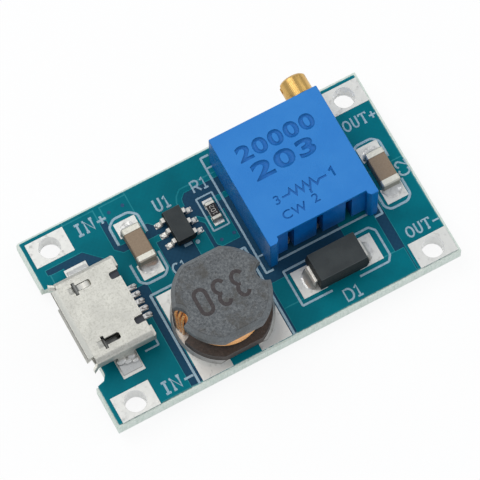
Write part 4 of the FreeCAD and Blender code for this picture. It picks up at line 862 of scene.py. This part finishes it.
COPPER_ZONES = (
    # input supply: corner pad, socket and the near end of the input capacitor
    ((-14.85, 8.33), (-11.22, 8.33), (-11.22, 8.06), (-8.58, 8.06), (-8.58, 4.4), (-8.02, 3.86),
     (-4.85, 3.86), (-4.85, 3.38), (-5.42, 3.38), (-5.42, -6.9), (-7.62, -6.9), (-7.62, 0.82),
     (-9.6, 0.82), (-9.6, 4.2), (-10.86, 5.45), (-14.1, 5.45), (-14.1, 4.98), (-13.92, 4.94),
     (-13.92, 4.1), (-14.85, 4.1)),
    ((-13.88, 4.9), (-12.75, 4.9), (-12.75, 4.1), (-13.88, 4.1)),
    # ground round the socket and the lower corner
    ((-14.85, -4.85), (-14.25, -4.7), (-13.9, -4.2), (-13.8, -1.75), (-8.58, -1.75), (-8.58, -8.3),
     (-14.85, -8.3)),
    # far end of the input capacitor
    ((-7.97, 8.06), (-5.74, 8.06), (-5.74, 4.5), (-7.97, 4.5)),
    # ground above the chip
    ((-5.7, 8.33), (2.4, 8.33), (2.4, 6.43), (-1.77, 6.43), (-2.25, 6.03), (-2.5, 5.52), (-2.5, 4.6),
     (-4.75, 4.6), (-5.3, 5.15), (-5.7, 5.15)),
    ((-11.17, 8.33), (-5.76, 8.33), (-5.76, 8.11), (-8.02, 8.11), (-8.02, 6.9), (-8.53, 6.9), (-8.53, 8.11),
     (-11.17, 8.11)),
    # feedback line from the chip to the resistor and the trimmer
    ((-2.45, 5.0), (-2.45, 5.5), (-2.2, 6.0), (-1.75, 6.38), (1.9, 6.38), (1.9, 5.98), (-1.6, 5.98),
     (-1.95, 5.65), (-2.05, 5.35), (-2.05, 5.0)),
    ((0.0, 4.58), (2.3, 4.58), (2.3, 4.12), (0.0, 4.12)),
    # ground between the chip and the resistor
    ((-2.05, 3.8), (-1.6, 3.8), (-1.15, 3.35), (0.55, 3.35), (0.55, 0.65), (-1.0, 0.65), (-1.3, 1.0),
     (-1.3, 3.0), (-1.72, 3.42), (-2.05, 3.42)),
    # switch node
    ((-2.8, 2.2), (-2.3, 2.35), (-1.65, 2.5), (-1.65, -0.6), (-2.8, -0.6)),
    ((-5.2, -5.5), (-2.3, -5.5), (-2.3, -8.33), (-5.2, -8.33)),
    ((0.72, -3.9), (4.6, -3.9), (4.6, -6.16), (0.72, -6.16)),
    # output supply
    ((7.72, -0.8), (10.52, -0.8), (10.52, -6.16), (7.72, -6.16)),
    ((11.42, 8.3), (14.85, 8.3), (14.85, 0.55), (11.42, 0.55)),
    # output ground
    ((11.42, 0.5), (14.85, 0.5), (14.85, -8.3), (11.42, -8.3)),
    ((0.72, -6.21), (11.3, -6.21), (11.3, -8.33), (0.72, -8.33)),
)

# Copper on the underside: ground between the corner pads, the wiper's track and the output supply.
UNDER_ZONES = (
    ((-10.6, 8.25), (11.0, 8.25), (11.0, 1.5), (1.3, 1.5), (0.9, 1.1), (0.9, -2.2), (1.3, -2.6), (11.0, -2.6),
     (11.0, -8.25), (-10.6, -8.25), (-10.6, -5.0), (-12.9, -3.6), (-12.9, 3.6), (-10.6, 5.0)),
    ((1.5, 0.9), (4.0, 0.9), (4.0, 0.4), (1.5, 0.4)),
    ((11.4, 4.4), (14.75, 4.4), (14.75, -4.4), (11.4, -4.4)),
)

CORNER_PADS = ("input_plus_pad", "input_minus_pad", "output_plus_pad", "output_minus_pad")

VIAS = ((-7.5, 7.35), (-6.28, 7.38), (-0.82, 1.15), (0.3, 1.2))

# Outlines printed round the parts: the line's width, its corner radius and its points.
PRINTED_OUTLINES = (
    (0.2, 0.22, ((-8.08, 4.55), (-8.08, 6.2), (-7.5, 6.68), (-6.2, 6.68), (-5.6, 6.2), (-5.6, 4.55))),
    (0.2, 0.22, ((-8.08, 2.68), (-8.08, 1.1), (-7.6, 0.68), (-6.05, 0.68), (-5.6, 1.1), (-5.6, 2.68))),
    (0.2, 0.22, ((11.62, 1.3), (11.62, 2.5), (12.1, 2.95), (13.45, 2.95), (13.95, 2.5), (13.95, 1.0))),
    (0.2, 0.22, ((11.62, -1.4), (11.62, -2.55), (12.0, -2.97), (13.5, -2.97), (13.95, -2.55), (13.95, -1.1))),
    (0.14, 0.05, ((-1.02, 2.05), (0.36, 2.05), (0.36, 5.02), (-1.02, 5.02), (-1.02, 2.05))),
    (0.18, 0.05, ((4.1, -3.48), (2.1, -3.48), (2.1, -6.66), (4.72, -6.66))),
    (0.18, 0.08, ((8.25, -3.46), (9.66, -3.46), (10.06, -3.9), (10.06, -6.22), (9.72, -6.68), (7.15, -6.68))),
    (0.2, 0.05, ((-2.8, -0.28), (-7.88, -0.28), (-7.88, -8.38))),
    (0.2, 0.05, ((-0.9, -0.28), (0.42, -0.28), (0.42, -8.38))),
    (0.16, 0.05, ((-10.35, -4.07), (-9.18, -4.07), (-9.18, -3.35))),
    (0.18, 0.05, ((1.6, 7.88), (0.9, 7.88), (0.9, -2.95), (1.55, -2.95))),
    (0.18, 0.05, ((10.55, -2.95), (11.22, -2.95), (11.22, -1.6))),
    (0.18, 0.05, ((2.1, -2.45), (10.3, -2.45))),
    (0.14, 0.05, ((0.9, 6.9), (1.4, 6.9))),
    (0.14, 0.05, ((0.9, -1.48), (1.5, -1.48))),
    (0.22, 0.05, ((-3.62, 2.06), (-2.95, 2.06))),
)

# Printed words: text, lower left corner, height, line width, turn and stretch.
PRINTED_WORDS = (
    ("IN+", -10.45, 6.68, 0.95, 0.19, 0, 1.15),
    ("IN-", -10.55, -7.93, 0.95, 0.19, 0, 1.15),
    ("OUT+", 12.02, 4.32, 0.84, 0.15, 0, 0.94),
    ("OUT-", 12.06, -5.76, 0.84, 0.15, 0, 0.94),
    ("U1", -4.18, 5.56, 0.96, 0.17, 0, 0.95),
    ("R1", -0.82, 5.56, 0.94, 0.16, 0, 1.0),
    ("D1", 5.38, -8.03, 0.95, 0.16, 0, 1.05),
    ("C2", 14.88, -1.02, 0.86, 0.16, 90, 0.98),
    ("C1", -5.32, 0.28, 0.86, 0.16, 0, 0.98),
)

# The dot at the chip's first pin.
PIN_DOT = arc(-2.53, 1.9, 0.08, 0.08, 0, 360, 12)


# ---------------------------------------------------------------- sizes of the small parts

# Holes through the copper zones at the corner pads.
DRILL_RADIUS = 0.98
# The light border of a copper zone: its width, and how high it stands.
BORDER_WIDTH, BORDER_HEIGHT = 0.07, 0.012
# A tented via: radius and height over the copper of its foot, its brim and its hollow.
VIA_FOOT, VIA_BRIM, VIA_HOLLOW = 0.16, (0.144, 0.012), (0.08, 0.004)
PRINT_HEIGHT, PRINT_SUNK = 0.022, 0.004

# Solder at the socket's near tab: place along the tab, distance from its edge, radius and height.
TAB_DROPS = ((-0.48, 1.0, 0.42, 0.9), (-0.05, 0.8, 0.36, 0.7), (0.4, 1.02, 0.4, 1.0), (0.5, 0.62, 0.3, 0.6))
# The socket's latch springs from the side: places along and up from the shell's top, and their width.
LATCH_PROFILE = ((0.02, -0.95, 0.9), (0.0, -0.4, 0.98), (0.06, -0.1, 0.98), (0.2, -0.04, 0.98),
                 (0.34, -0.12, 0.5), (0.9, -0.16, 0.5), (1.16, -0.12, 0.5), (1.34, -0.2, 0.48),
                 (1.6, -0.5, 0.48))
LATCH_SHEET = 0.09
# Which side of the middle each spring is on and how deep it is pressed in.
LATCH_OFFSET = 2.44
LATCH_SIDES = ((1, 0.03), (-1, 0.62))

# Marks sunk in the trimmer, from its lower left corner: text, place, height, stretch, weight and depth.
CASE_LABELS = (("3", 2.0, 2.75, 1.05, 1.1, 0.012, 0.07), ("2", 4.7, 1.5, 1.05, 1.1, 0.012, 0.07),
               ("CW", 2.0, 1.35, 1.05, 1.1, 0.012, 0.07))
# Its pin diagram: the track, the wiper and the stroke figure of pin 1.
CASE_LINES = (
    ((2.75, 3.1), (3.35, 3.1),
     *((3.55 + 0.3 * index, 3.1 + (-0.3 if index % 2 else 0.36)) for index in range(8)),
     (5.95, 3.1), (6.6, 3.1)),
    ((4.95, 2.35), (4.95, 2.72)),
    ((6.95, 3.3), (7.2, 3.5), (7.2, 2.75)),
)
CASE_LINE_WIDTH, CASE_LINE_DEPTH = 0.17, 0.07

# The notches in the inductor's rims: their radius, and the way from the middle to theirs.
NOTCH_RADIUS = 0.84
NOTCH_X, NOTCH_Y = 3.92, 0.08
# How finely a turn of the winding is drawn, how far the winding stands out of its solid, and how far
# it starts over the drum's foot.
TURN_STEPS = 56
COIL_SPARE = 0.16
COIL_FOOT = 1.02
# The wire ends on each side: how many, how finely drawn, and how far apart. Each starts across the
# middle line by END_ACROSS at the top and has moved by END_LEAN at the foot.
STRANDS, STRAND_STEPS, STRAND_PITCH = 3, 16, 0.37
END_ACROSS, END_LEAN = 0.94, 0.4
COIL_MARK_HEIGHT, COIL_MARK_STROKE = 2.1, 0.41
FILM_MARK_HEIGHT, FILM_MARK_STROKE = 0.34, 0.06
# The resistor's film: its thickness, and how far it sinks at its long edges.
FILM_HEIGHT, FILM_SINK = 0.05, 0.012
# Radii of the solder drops on the socket's contact tails and on the chip's leads, and how far each
# drop's middle lies inside the lead's end.
TAIL_DROP, TAIL_INSIDE = (0.3, 0.19, 0.26), 0.1
LEAD_DROP, LEAD_INSIDE = (0.22, 0.18, 0.14), 0.06

# The stage: half the floor's width and its gap below the part, in millimetres, and the share of white
# that a ray of sight finds on it.
FLOOR_REACH, FLOOR_GAP, FLOOR_WHITE = 400, 0.01, 0.9
SKY_COLOUR, SKY_STRENGTH = (0.93, 0.96, 1.0, 1.0), 0.62
# Lamps: name, place and width in metres, share of the lamp strength, and colour.
LAMPS = (("key_lamp", (-0.1, 0.16, 0.3), 0.3, 1.0, (1.0, 0.98, 0.95)),
         ("fill_lamp", (0.26, -0.1, 0.22), 0.25, 0.35, (0.95, 0.98, 1.0)))
# The point of the layout that the camera looks at.
VIEW_TARGET = (0.4096, 0.438717)


# ---------------------------------------------------------------- what a user would change

def colour_setting(name, description, colour):
    """A colour that the user can change."""
    return FloatVectorProperty(name=name, description=description, subtype="COLOR", size=4, min=0, max=1,
                               default=colour)


class ModuleBoard(bpy.types.PropertyGroup):
    mask_colour: colour_setting("Mask", "Solder mask where copper lies under it", srgb(0, 112, 126))
    bare_colour: colour_setting("Mask on laminate", "Solder mask with no copper under it", srgb(28, 68, 94))
    ink_colour: colour_setting("Ink", "Printed outlines and words", srgb(160, 186, 200))
    bare_rim: FloatProperty(name="Bare rim", default=0.2, min=0.06, max=1.0,
                            description="Laminate left without mask round the edge, in millimetres")
    copper_height: FloatProperty(name="Copper step", description="How far masked copper stands up",
                                 subtype="DISTANCE", unit="LENGTH", default=0.018 * MM, min=0.001 * MM,
                                 max=0.04 * MM)


class ModuleMetals(bpy.types.PropertyGroup):
    shell_colour: colour_setting("Shell", "Plated sheet of the socket", srgb(192, 191, 184))
    brass_colour: colour_setting("Brass", "Adjusting screw", srgb(214, 174, 104))
    wire_colour: colour_setting("Wire", "Enamelled winding", srgb(250, 184, 112))
    wire_turns: IntProperty(name="Turns", description="Turns seen on the outer layer of the winding",
                            default=11, min=4, max=16)


class ModulePlastics(bpy.types.PropertyGroup):
    # The case's two colours are painted light and shade on one blue: a pale top face and deeper sides.
    case_top_colour: colour_setting("Case top", "Upper face of the trimmer", srgb(46, 127, 206))
    case_side_colour: colour_setting("Case sides", "Sides of the trimmer", srgb(0, 98, 168))
    value_words: StringProperty(name="Value", description="Plain value sunk in the trimmer", default="20000")
    value_code: StringProperty(name="Value code", description="Plain code sunk in the trimmer", default="203")
    coil_code: StringProperty(name="Coil code", description="Plain value code on the inductor", default="330")
    film_code: StringProperty(name="Film code", description="Plain value code on the resistor", default="102")


class ModuleStage(bpy.types.PropertyGroup):
    view_turn: FloatProperty(name="View turn", description="Camera's place round the part",
                             subtype="ANGLE", default=math.radians(-27.065607))
    view_rise: FloatProperty(name="View rise", description="Camera's height above the horizon",
                             subtype="ANGLE", default=math.radians(70.204467))
    view_roll: FloatProperty(name="View roll", description="Tilt of the frame",
                             subtype="ANGLE", default=math.radians(-1.531903))
    view_distance: FloatProperty(name="View distance", description="Camera to the middle of the board",
                                 subtype="DISTANCE", unit="LENGTH", default=0.299168, min=0.05)
    lens: FloatProperty(name="Lens", description="Focal length in millimetres for a 36 mm frame",
                        default=288.148, min=20, max=600)
    floor_colour: colour_setting("Floor", "Pale floor", srgb(250, 251, 252))
    lamp_strength: FloatProperty(name="Lamp", description="Power of the main soft lamp in watts",
                                 default=0.5, min=0.01)


# ---------------------------------------------------------------- operators

class MODULE_OT_panel(bpy.types.Operator):
    """Lay the board with its bare rim, the copper zones under the mask and the tented vias"""
    bl_idname = "module.panel"
    bl_label = "Board panel"

    def execute(self, context):
        soften("board", "board", 0.05)
        step = context.scene.module_board.copper_height / MM
        top = BOARD_TOP + step
        zones = bmesh.new()
        for outlines, low, high in ((COPPER_ZONES, BOARD_TOP - 0.01, top), (UNDER_ZONES, -step, 0.01)):
            for outline in outlines:
                add_slab(zones, [spot(x, y) for x, y in outline], low, high)
        thing = add_piece("copper_zones", zones, "copper_zone")
        round_edges(thing, step * 0.6)
        drills = bmesh.new()
        for corner in CORNER_PADS:
            middle = middle_of(corner)
            add_drill(drills, middle.x, middle.y, BOARD_TOP, DRILL_RADIUS, 1.0, 48)
        carve(thing, drills)
        edges = bmesh.new()
        borders = [[spot(x, y) for x, y in (*zone, zone[0])] for zone in COPPER_ZONES]
        add_lines(edges, borders, BORDER_WIDTH, top - BORDER_HEIGHT / 2, BORDER_HEIGHT)
        add_piece("copper_edges", edges, "copper_edge")
        vias = bmesh.new()
        for x, y in VIAS:
            rings = []
            for radius, height in ((VIA_FOOT, BOARD_TOP), (VIA_BRIM[0], top + VIA_BRIM[1]),
                                   (VIA_HOLLOW[0], top + VIA_HOLLOW[1])):
                circle = arc(x, y, radius, radius, 0, 345, 15)
                rings.append([vias.verts.new((*spot(*point), height)) for point in circle])
            bridge(vias, rings)
            vias.faces.new(rings[-1])
        add_piece("tented_vias", vias, "via")
        return {"FINISHED"}


class MODULE_OT_print(bpy.types.Operator):
    """Print the part outlines, the polarity words and the part numbers on the board"""
    bl_idname = "module.print"
    bl_label = "Board print"

    def execute(self, context):
        base = BOARD_TOP + context.scene.module_board.copper_height / MM - PRINT_SUNK
        printed = bmesh.new()

        def take(lines, width):
            placed = [[spot(x, y) for x, y in line] for line in lines]
            add_lines(printed, placed, width, base, PRINT_HEIGHT)

        for width, radius, points in PRINTED_OUTLINES:
            closed = points[0] == points[-1]
            corners = points[:-1] if closed else points
            take([rounded(corners, radius, closed)], width)
        for text, x, y, height, width, turn, wide in PRINTED_WORDS:
            take(lettering(text, x, y, height, 0.22, turn, wide), width)
        take([PIN_DOT], 0.2)
        add_piece("board_print", printed, "ink")
        return {"FINISHED"}


class MODULE_OT_pads(bpy.types.Operator):
    """Give the corner pads and the lands their levelled tin"""
    bl_idname = "module.pads"
    bl_label = "Pads and lands"

    def execute(self, context):
        for node in (*CORNER_PADS, "component_lands"):
            soften(node, "pad_tin", 0.02)
        return {"FINISHED"}


class MODULE_OT_socket(bpy.types.Operator):
    """Finish the socket: folded shell, insulator, contacts and the solder that holds them"""
    bl_idname = "module.socket"
    bl_label = "Input socket"

    def execute(self, context):
        soften("usb_shell", "shell", 0.04, angle=50.0)
        soften("usb_insulator", "insulator", 0.03)
        tails = bmesh.new()
        for index in range(1, 6):
            node = f"usb_contact_{index}"
            coat(node, "tail")
            tip = (span(node)[1].x - TAIL_INSIDE, middle_of(node).y, LAND_TOP)
            add_lump(tails, tip, TAIL_DROP, index)
        add_piece("socket_tail_solder", tails, "tail")
        for side, _ in ENDS:
            soften(f"usb_tab_solder_{side}", "solder", 0.06, 3)
        low, high = span("usb_tab_solder_near")
        drops = bmesh.new()
        for index, (along, back, size, steep) in enumerate(TAB_DROPS):
            place = ((low.x + high.x) / 2 + along, low.y + back, high.z - 0.06)
            add_lump(drops, place, (size, size * 0.8, size * 0.5 * steep), -(index + 2.3))
        add_piece("socket_tab_drops", drops, "solder")
        springs = bmesh.new()
        low, high = span("usb_shell")
        for sign, sink in LATCH_SIDES:
            middle = (low.y + high.y) / 2 + sign * LATCH_OFFSET
            rings = []
            for along, up, width in LATCH_PROFILE:
                x, z = low.x + LATCH_START + along, high.z + up - sink
                ring = [springs.verts.new((x, middle + side * width / 2, z + drop))
                        for drop in (0.0, -LATCH_SHEET) for side in (-1, 1)]
                rings.append((ring[0], ring[1], ring[3], ring[2]))
            add_tube(springs, rings)
        thing = add_piece("socket_latch_springs", springs, "spring", smooth=60.0)
        round_edges(thing, 0.025, angle=60.0)
        return {"FINISHED"}


class MODULE_OT_trimmer(bpy.types.Operator):
    """Finish the trimmer: case with sunk marks, base, pins and the ceramic inside"""
    bl_idname = "module.trimmer"
    bl_label = "Trimmer"

    def execute(self, context):
        plastics = context.scene.module_plastics
        low, high = span("trimmer_housing")
        over = high.z + 0.1
        marks = bmesh.new()
        values = ((plastics.value_words, 1.3, 7.1, 1.8, 1.36, 0.06, 0.09),
                  (plastics.value_code, 1.7, 5.2, 2.0, 1.7, 0.07, 0.09))
        for words, x, y, size, stretch, weight, depth in (*values, *CASE_LABELS):
            add_text(marks, words, low.x + x, low.y + y, size, stretch, weight, high.z - depth, over)
        for line in CASE_LINES:
            placed = [(low.x + x, low.y + y) for x, y in line]
            add_ribbon(marks, placed, CASE_LINE_WIDTH, high.z - CASE_LINE_DEPTH, over)
        carve(soften("trimmer_housing", "case", 0.07), marks)
        soften("trimmer_base", "base", 0.05)
        soften("resistance_element", "alumina", 0.03)
        for index in range(1, 4):
            soften(f"trimmer_pin_{index}", "pin", 0.03)
            soften(f"trimmer_pin_solder_{index}", "solder", 0.04)
        return {"FINISHED"}


class MODULE_OT_adjuster(bpy.types.Operator):
    """Finish the adjusting screw with its seal, and the wiper that it drives"""
    bl_idname = "module.adjuster"
    bl_label = "Adjusting screw and wiper"

    def execute(self, context):
        soften("adjusting_screw", "brass", 0.05, body="adjuster")
        soften("screw_seal", "rubber", 0.05, 3, body="adjuster")
        soften("wiper_carriage", "carriage", 0.06, body="wiper")
        soften("wiper_contact", "contact", 0.02, body="wiper")
        return {"FINISHED"}


class MODULE_OT_inductor(bpy.types.Operator):
    """Finish the inductor: ferrite drum, turn by turn winding, terminals and value code"""
    bl_idname = "module.inductor"
    bl_label = "Inductor"

    def execute(self, context):
        low, high = span("inductor_coil")
        middle = (low + high) / 2
        core_low, core_high = span("inductor_core")
        notches = bmesh.new()
        for sign in (-1, 1):
            x, y = middle.x + sign * NOTCH_X, middle.y + sign * NOTCH_Y
            add_drill(notches, x, y, 4.0, NOTCH_RADIUS, 8.0, 40)
        carve(soften("inductor_core", "ferrite", 0.11, 4, angle=40.0), notches, 30.0)
        turns = context.scene.module_metals.wire_turns
        radius = (high.y - low.y) / 2 + COIL_SPARE
        base = core_low.z + COIL_FOOT
        rise = high.z - base
        wire = rise / turns / 2
        steps = (turns - 1) * TURN_STEPS
        helix = []
        for step in range(steps + 1):
            turn = 2 * math.pi * step / TURN_STEPS
            lift = base + wire + (rise - 2 * wire) * step / steps
            wobble = 0.03 * noise.noise(Vector((math.cos(turn) * 1.5, math.sin(turn) * 1.5, lift * 3)))
            reach = radius - wire - 0.04 + wobble
            helix.append(Vector((middle.x + math.cos(turn) * reach, middle.y + math.sin(turn) * reach, lift)))
        coil = bmesh.new()
        add_cord(coil, helix, wire)
        for sign in (-1, 1):
            for strand in range(STRANDS):
                spread = (high.x - low.x) / 2 - wire + 0.12 - 0.09 * strand - radius
                points = []
                for step in range(STRAND_STEPS + 1):
                    t = step / STRAND_STEPS
                    lift = high.z - 0.15 - 0.1 * strand - (high.z - 0.4 - core_low.z) * t
                    reach = radius + spread * math.sin(min(1.0, t * 3) * math.pi / 2)
                    across = END_ACROSS - STRAND_PITCH * strand - END_LEAN * t * (1 - 0.2 * strand)
                    points.append(Vector((middle.x + sign * reach, middle.y - sign * across, lift)))
                add_cord(coil, points, wire)
        add_piece("inductor_winding", coil, "wire", stands_for=("inductor_coil",))
        for side, _ in SIDES:
            soften(f"inductor_terminal_{side}", "lead_tin", 0.03)
            soften(f"inductor_solder_{side}", "solder", 0.05, 3)
        code = lettering(context.scene.module_plastics.coil_code, 0, 0, COIL_MARK_HEIGHT, 0.42, wide=0.74)
        length = max(x for line in code for x, y in line)
        centre = middle_of("inductor_core")
        turned = [[(centre.x - (x - length / 2), centre.y - (y - COIL_MARK_HEIGHT / 2)) for x, y in line]
                  for line in code]
        mark = bmesh.new()
        add_lines(mark, turned, COIL_MARK_STROKE, core_high.z - 0.014, 0.018)
        add_piece("inductor_mark", mark, "ferrite_mark")
        return {"FINISHED"}


class MODULE_OT_diode(bpy.types.Operator):
    """Finish the diode: moulded body, folded leads and their solder"""
    bl_idname = "module.diode"
    bl_label = "Diode"

    def execute(self, context):
        soften("diode_body", "mould", 0.035)
        fillets = bmesh.new()
        for side, sign in SIDES:
            lead = f"diode_lead_{side}"
            soften(lead, "lead_tin", 0.03)
            reach = max(past(lead, f"diode_solder_{side}", 0, sign), 0.3)
            add_fillet(fillets, lead, 0, sign, 0.02, reach, 0.3, 0.62, sign * 3.0)
        add_piece("diode_fillets", fillets, "solder",
                  stands_for=("diode_solder_left", "diode_solder_right"))
        return {"FINISHED"}


class MODULE_OT_chip(bpy.types.Operator):
    """Finish the converter chip with its six leads and their solder"""
    bl_idname = "module.chip"
    bl_label = "Converter chip"

    def execute(self, context):
        soften("chip_body", "mould", 0.04)
        body = middle_of("chip_body")
        drops = bmesh.new()
        for index in range(1, 7):
            lead = f"chip_lead_{index}"
            soften(lead, "lead_tin", 0.025)
            low, high = span(lead)
            middle = (low + high) / 2
            toe = low.x + LEAD_INSIDE if middle.x < body.x else high.x - LEAD_INSIDE
            add_lump(drops, (toe, middle.y, LAND_TOP), LEAD_DROP, index * 1.7)
        add_piece("chip_solder", drops, "solder")
        return {"FINISHED"}


class MODULE_OT_capacitors(bpy.types.Operator):
    """Finish the two capacitors: ceramic bodies, dipped ends and their solder fillets"""
    bl_idname = "module.capacitors"
    bl_label = "Capacitors"

    def execute(self, context):
        for name in ("input_capacitor", "output_capacitor"):
            soften(f"{name}_body", "capacitor", 0.06)
            fillets = bmesh.new()
            for side, sign in ENDS:
                end, solder = f"{name}_end_{side}", f"{name}_solder_{side}"
                soften(end, "end_cap", 0.2, 5)
                reach = past(end, solder, 1, sign) + 0.1
                height = 0.55 * (span(solder)[1].z - LAND_TOP)
                add_fillet(fillets, end, 1, sign, 0.1, reach, 0.1, height, sign * 2.0)
            add_piece(f"{name}_fillets", fillets, "solder",
                      stands_for=(f"{name}_solder_near", f"{name}_solder_far"))
        return {"FINISHED"}


class MODULE_OT_resistor(bpy.types.Operator):
    """Finish the resistor: ceramic, black film, wrapped ends and solder"""
    bl_idname = "module.resistor"
    bl_label = "Resistor"

    def execute(self, context):
        soften("resistor_body", "resistor", 0.02)
        low, high = span("resistor_body")
        middle = (low + high) / 2
        bare = span("resistor_end_far")[0].y - span("resistor_end_near")[1].y
        film = bmesh.new()
        bmesh.ops.create_cube(film, size=1.0)
        bmesh.ops.scale(film, vec=(high.x - low.x - 0.04, bare - 0.02, FILM_HEIGHT), verts=film.verts)
        bmesh.ops.translate(film, vec=(middle.x, middle.y, high.z), verts=film.verts)
        bmesh.ops.subdivide_edges(film, edges=film.edges, cuts=6, use_grid_fill=True)
        for vertex in film.verts:
            across = (vertex.co.x - middle.x) / ((high.x - low.x) / 2)
            vertex.co.z -= FILM_SINK * across ** 4
        thing = add_piece("resistor_film", film, "resistor_film")
        round_edges(thing, 0.012)
        code = lettering(context.scene.module_plastics.film_code, 0, 0, FILM_MARK_HEIGHT, 0.3, 90)
        length = max(y for line in code for x, y in line)
        placed = [[(middle.x + x + FILM_MARK_HEIGHT / 2, middle.y + y - length / 2) for x, y in line]
                  for line in code]
        mark = bmesh.new()
        add_lines(mark, placed, FILM_MARK_STROKE, high.z + 0.012, 0.02)
        add_piece("resistor_code", mark, "film_mark")
        fillets = bmesh.new()
        for side, sign in ENDS:
            end = f"resistor_end_{side}"
            soften(end, "end_cap", 0.035, 3)
            add_fillet(fillets, end, 1, sign, 0.04, 0.34, 0.04, 0.3, sign * 4.0)
        add_piece("resistor_fillets", fillets, "solder")
        return {"FINISHED"}


class MODULE_OT_stage(bpy.types.Operator):
    """Set the pale floor, the soft lamps and the camera"""
    bl_idname = "module.stage"
    bl_label = "Stage"

    def execute(self, context):
        scene = context.scene
        stage = scene.module_stage
        scene.view_settings.view_transform = "Standard"
        floor = bmesh.new()
        bmesh.ops.create_grid(floor, x_segments=8, y_segments=8, size=FLOOR_REACH)
        bmesh.ops.translate(floor, vec=(0, 0, CAD_BOX[0][2] / MM - FLOOR_GAP), verts=floor.verts)
        sheet = bpy.data.objects.new("floor", to_mesh("floor", floor))
        sheet.data.flip_normals()
        scene.collection.objects.link(sheet)
        paint = Paint("pale_floor")
        lit = paint.node("ShaderNodeBsdfDiffuse", None, {"Color": tuple(stage.floor_colour)})
        glow = paint.node("ShaderNodeEmission", None, {"Color": (1, 1, 1, 1), "Strength": 1.0})
        seen = paint.node("ShaderNodeLightPath", output="Is Camera Ray")
        for ray in ("Is Glossy Ray", "Is Transmission Ray"):
            seen = seen.most(paint.node("ShaderNodeLightPath", output=ray))
        above = paint.node("ShaderNodeMixShader", None, {0: seen * FLOOR_WHITE, 1: lit, 2: glow})
        clear = paint.node("ShaderNodeBsdfTransparent")
        under = paint.node("ShaderNodeNewGeometry", output="Backfacing")
        surface = paint.node("ShaderNodeMixShader", None, {0: under, 1: above, 2: clear})
        sheet.data.materials.append(paint.end(surface))

        world = bpy.data.worlds.new("studio")
        world.use_nodes = True
        world.node_tree.nodes["Background"].inputs["Color"].default_value = SKY_COLOUR
        world.node_tree.nodes["Background"].inputs["Strength"].default_value = SKY_STRENGTH
        scene.world = world

        for name, place, size, share, colour in LAMPS:
            light = bpy.data.lights.new(name, "AREA")
            light.shape = "DISK"
            light.size = size
            light.energy = stage.lamp_strength * share
            light.color = colour
            holder = bpy.data.objects.new(name, light)
            holder.location = place
            holder.rotation_euler = (-Vector(place)).to_track_quat("-Z", "Y").to_euler()
            scene.collection.objects.link(holder)

        camera = bpy.data.cameras.new("camera")
        camera.sensor_width = 36
        camera.lens = stage.lens
        camera.clip_start = 0.01
        camera.clip_end = 10
        holder = bpy.data.objects.new("camera", camera)
        turn, rise = stage.view_turn, stage.view_rise
        back = Vector((math.sin(turn) * math.cos(rise), -math.cos(turn) * math.cos(rise), math.sin(rise)))
        right = (-back).cross(Vector((0, 0, 1))).normalized()
        up = right.cross(-back)
        tilt_right = math.cos(stage.view_roll) * right + math.sin(stage.view_roll) * up
        tilt_up = math.cos(stage.view_roll) * up - math.sin(stage.view_roll) * right
        target = Vector((*spot(*VIEW_TARGET), BOARD_TOP)) * MM
        place = target + back * stage.view_distance
        frame_axes = Matrix((tilt_right, tilt_up, back)).transposed().to_4x4()
        holder.matrix_world = Matrix.Translation(place) @ frame_axes
        scene.collection.objects.link(holder)
        scene.camera = holder
        return {"FINISHED"}


class MODULE_PT_finish(bpy.types.Panel):
    """Lists the groups of pieces and the values behind them"""
    bl_idname = "MODULE_PT_finish"
    bl_label = "Module finish"
    bl_space_type = "VIEW_3D"
    bl_region_type = "UI"
    bl_category = "Module"

    def draw(self, context):
        layout = self.layout
        for group in PROPERTY_GROUPS:
            box = layout.box()
            settings = getattr(context.scene, group)
            for name in settings.__annotations__:
                box.prop(settings, name)
        column = layout.column(align=True)
        for operator in OPERATORS:
            column.operator(operator.bl_idname)


OPERATORS = (MODULE_OT_panel, MODULE_OT_print, MODULE_OT_pads, MODULE_OT_socket, MODULE_OT_trimmer,
             MODULE_OT_adjuster, MODULE_OT_inductor, MODULE_OT_diode, MODULE_OT_chip, MODULE_OT_capacitors,
             MODULE_OT_resistor, MODULE_OT_stage)
PROPERTY_GROUPS = {
    "module_board": ModuleBoard,
    "module_metals": ModuleMetals,
    "module_plastics": ModulePlastics,
    "module_stage": ModuleStage,
}


def register():
    for name, group in PROPERTY_GROUPS.items():
        bpy.utils.register_class(group)
        setattr(bpy.types.Scene, name, PointerProperty(type=group))
    for operator in OPERATORS:
        bpy.utils.register_class(operator)
    bpy.utils.register_class(MODULE_PT_finish)


def unregister():
    bpy.utils.unregister_class(MODULE_PT_finish)
    for operator in reversed(OPERATORS):
        bpy.utils.unregister_class(operator)
    for name, group in PROPERTY_GROUPS.items():
        delattr(bpy.types.Scene, name)
        bpy.utils.unregister_class(group)


def main():
    register()
    bpy.ops.module.panel()
    bpy.ops.module.print()
    bpy.ops.module.pads()
    bpy.ops.module.socket()
    bpy.ops.module.trimmer()
    bpy.ops.module.adjuster()
    bpy.ops.module.inductor()
    bpy.ops.module.diode()
    bpy.ops.module.chip()
    bpy.ops.module.capacitors()
    bpy.ops.module.resistor()
    bpy.ops.module.stage()


if __name__ == "__main__":
    main()
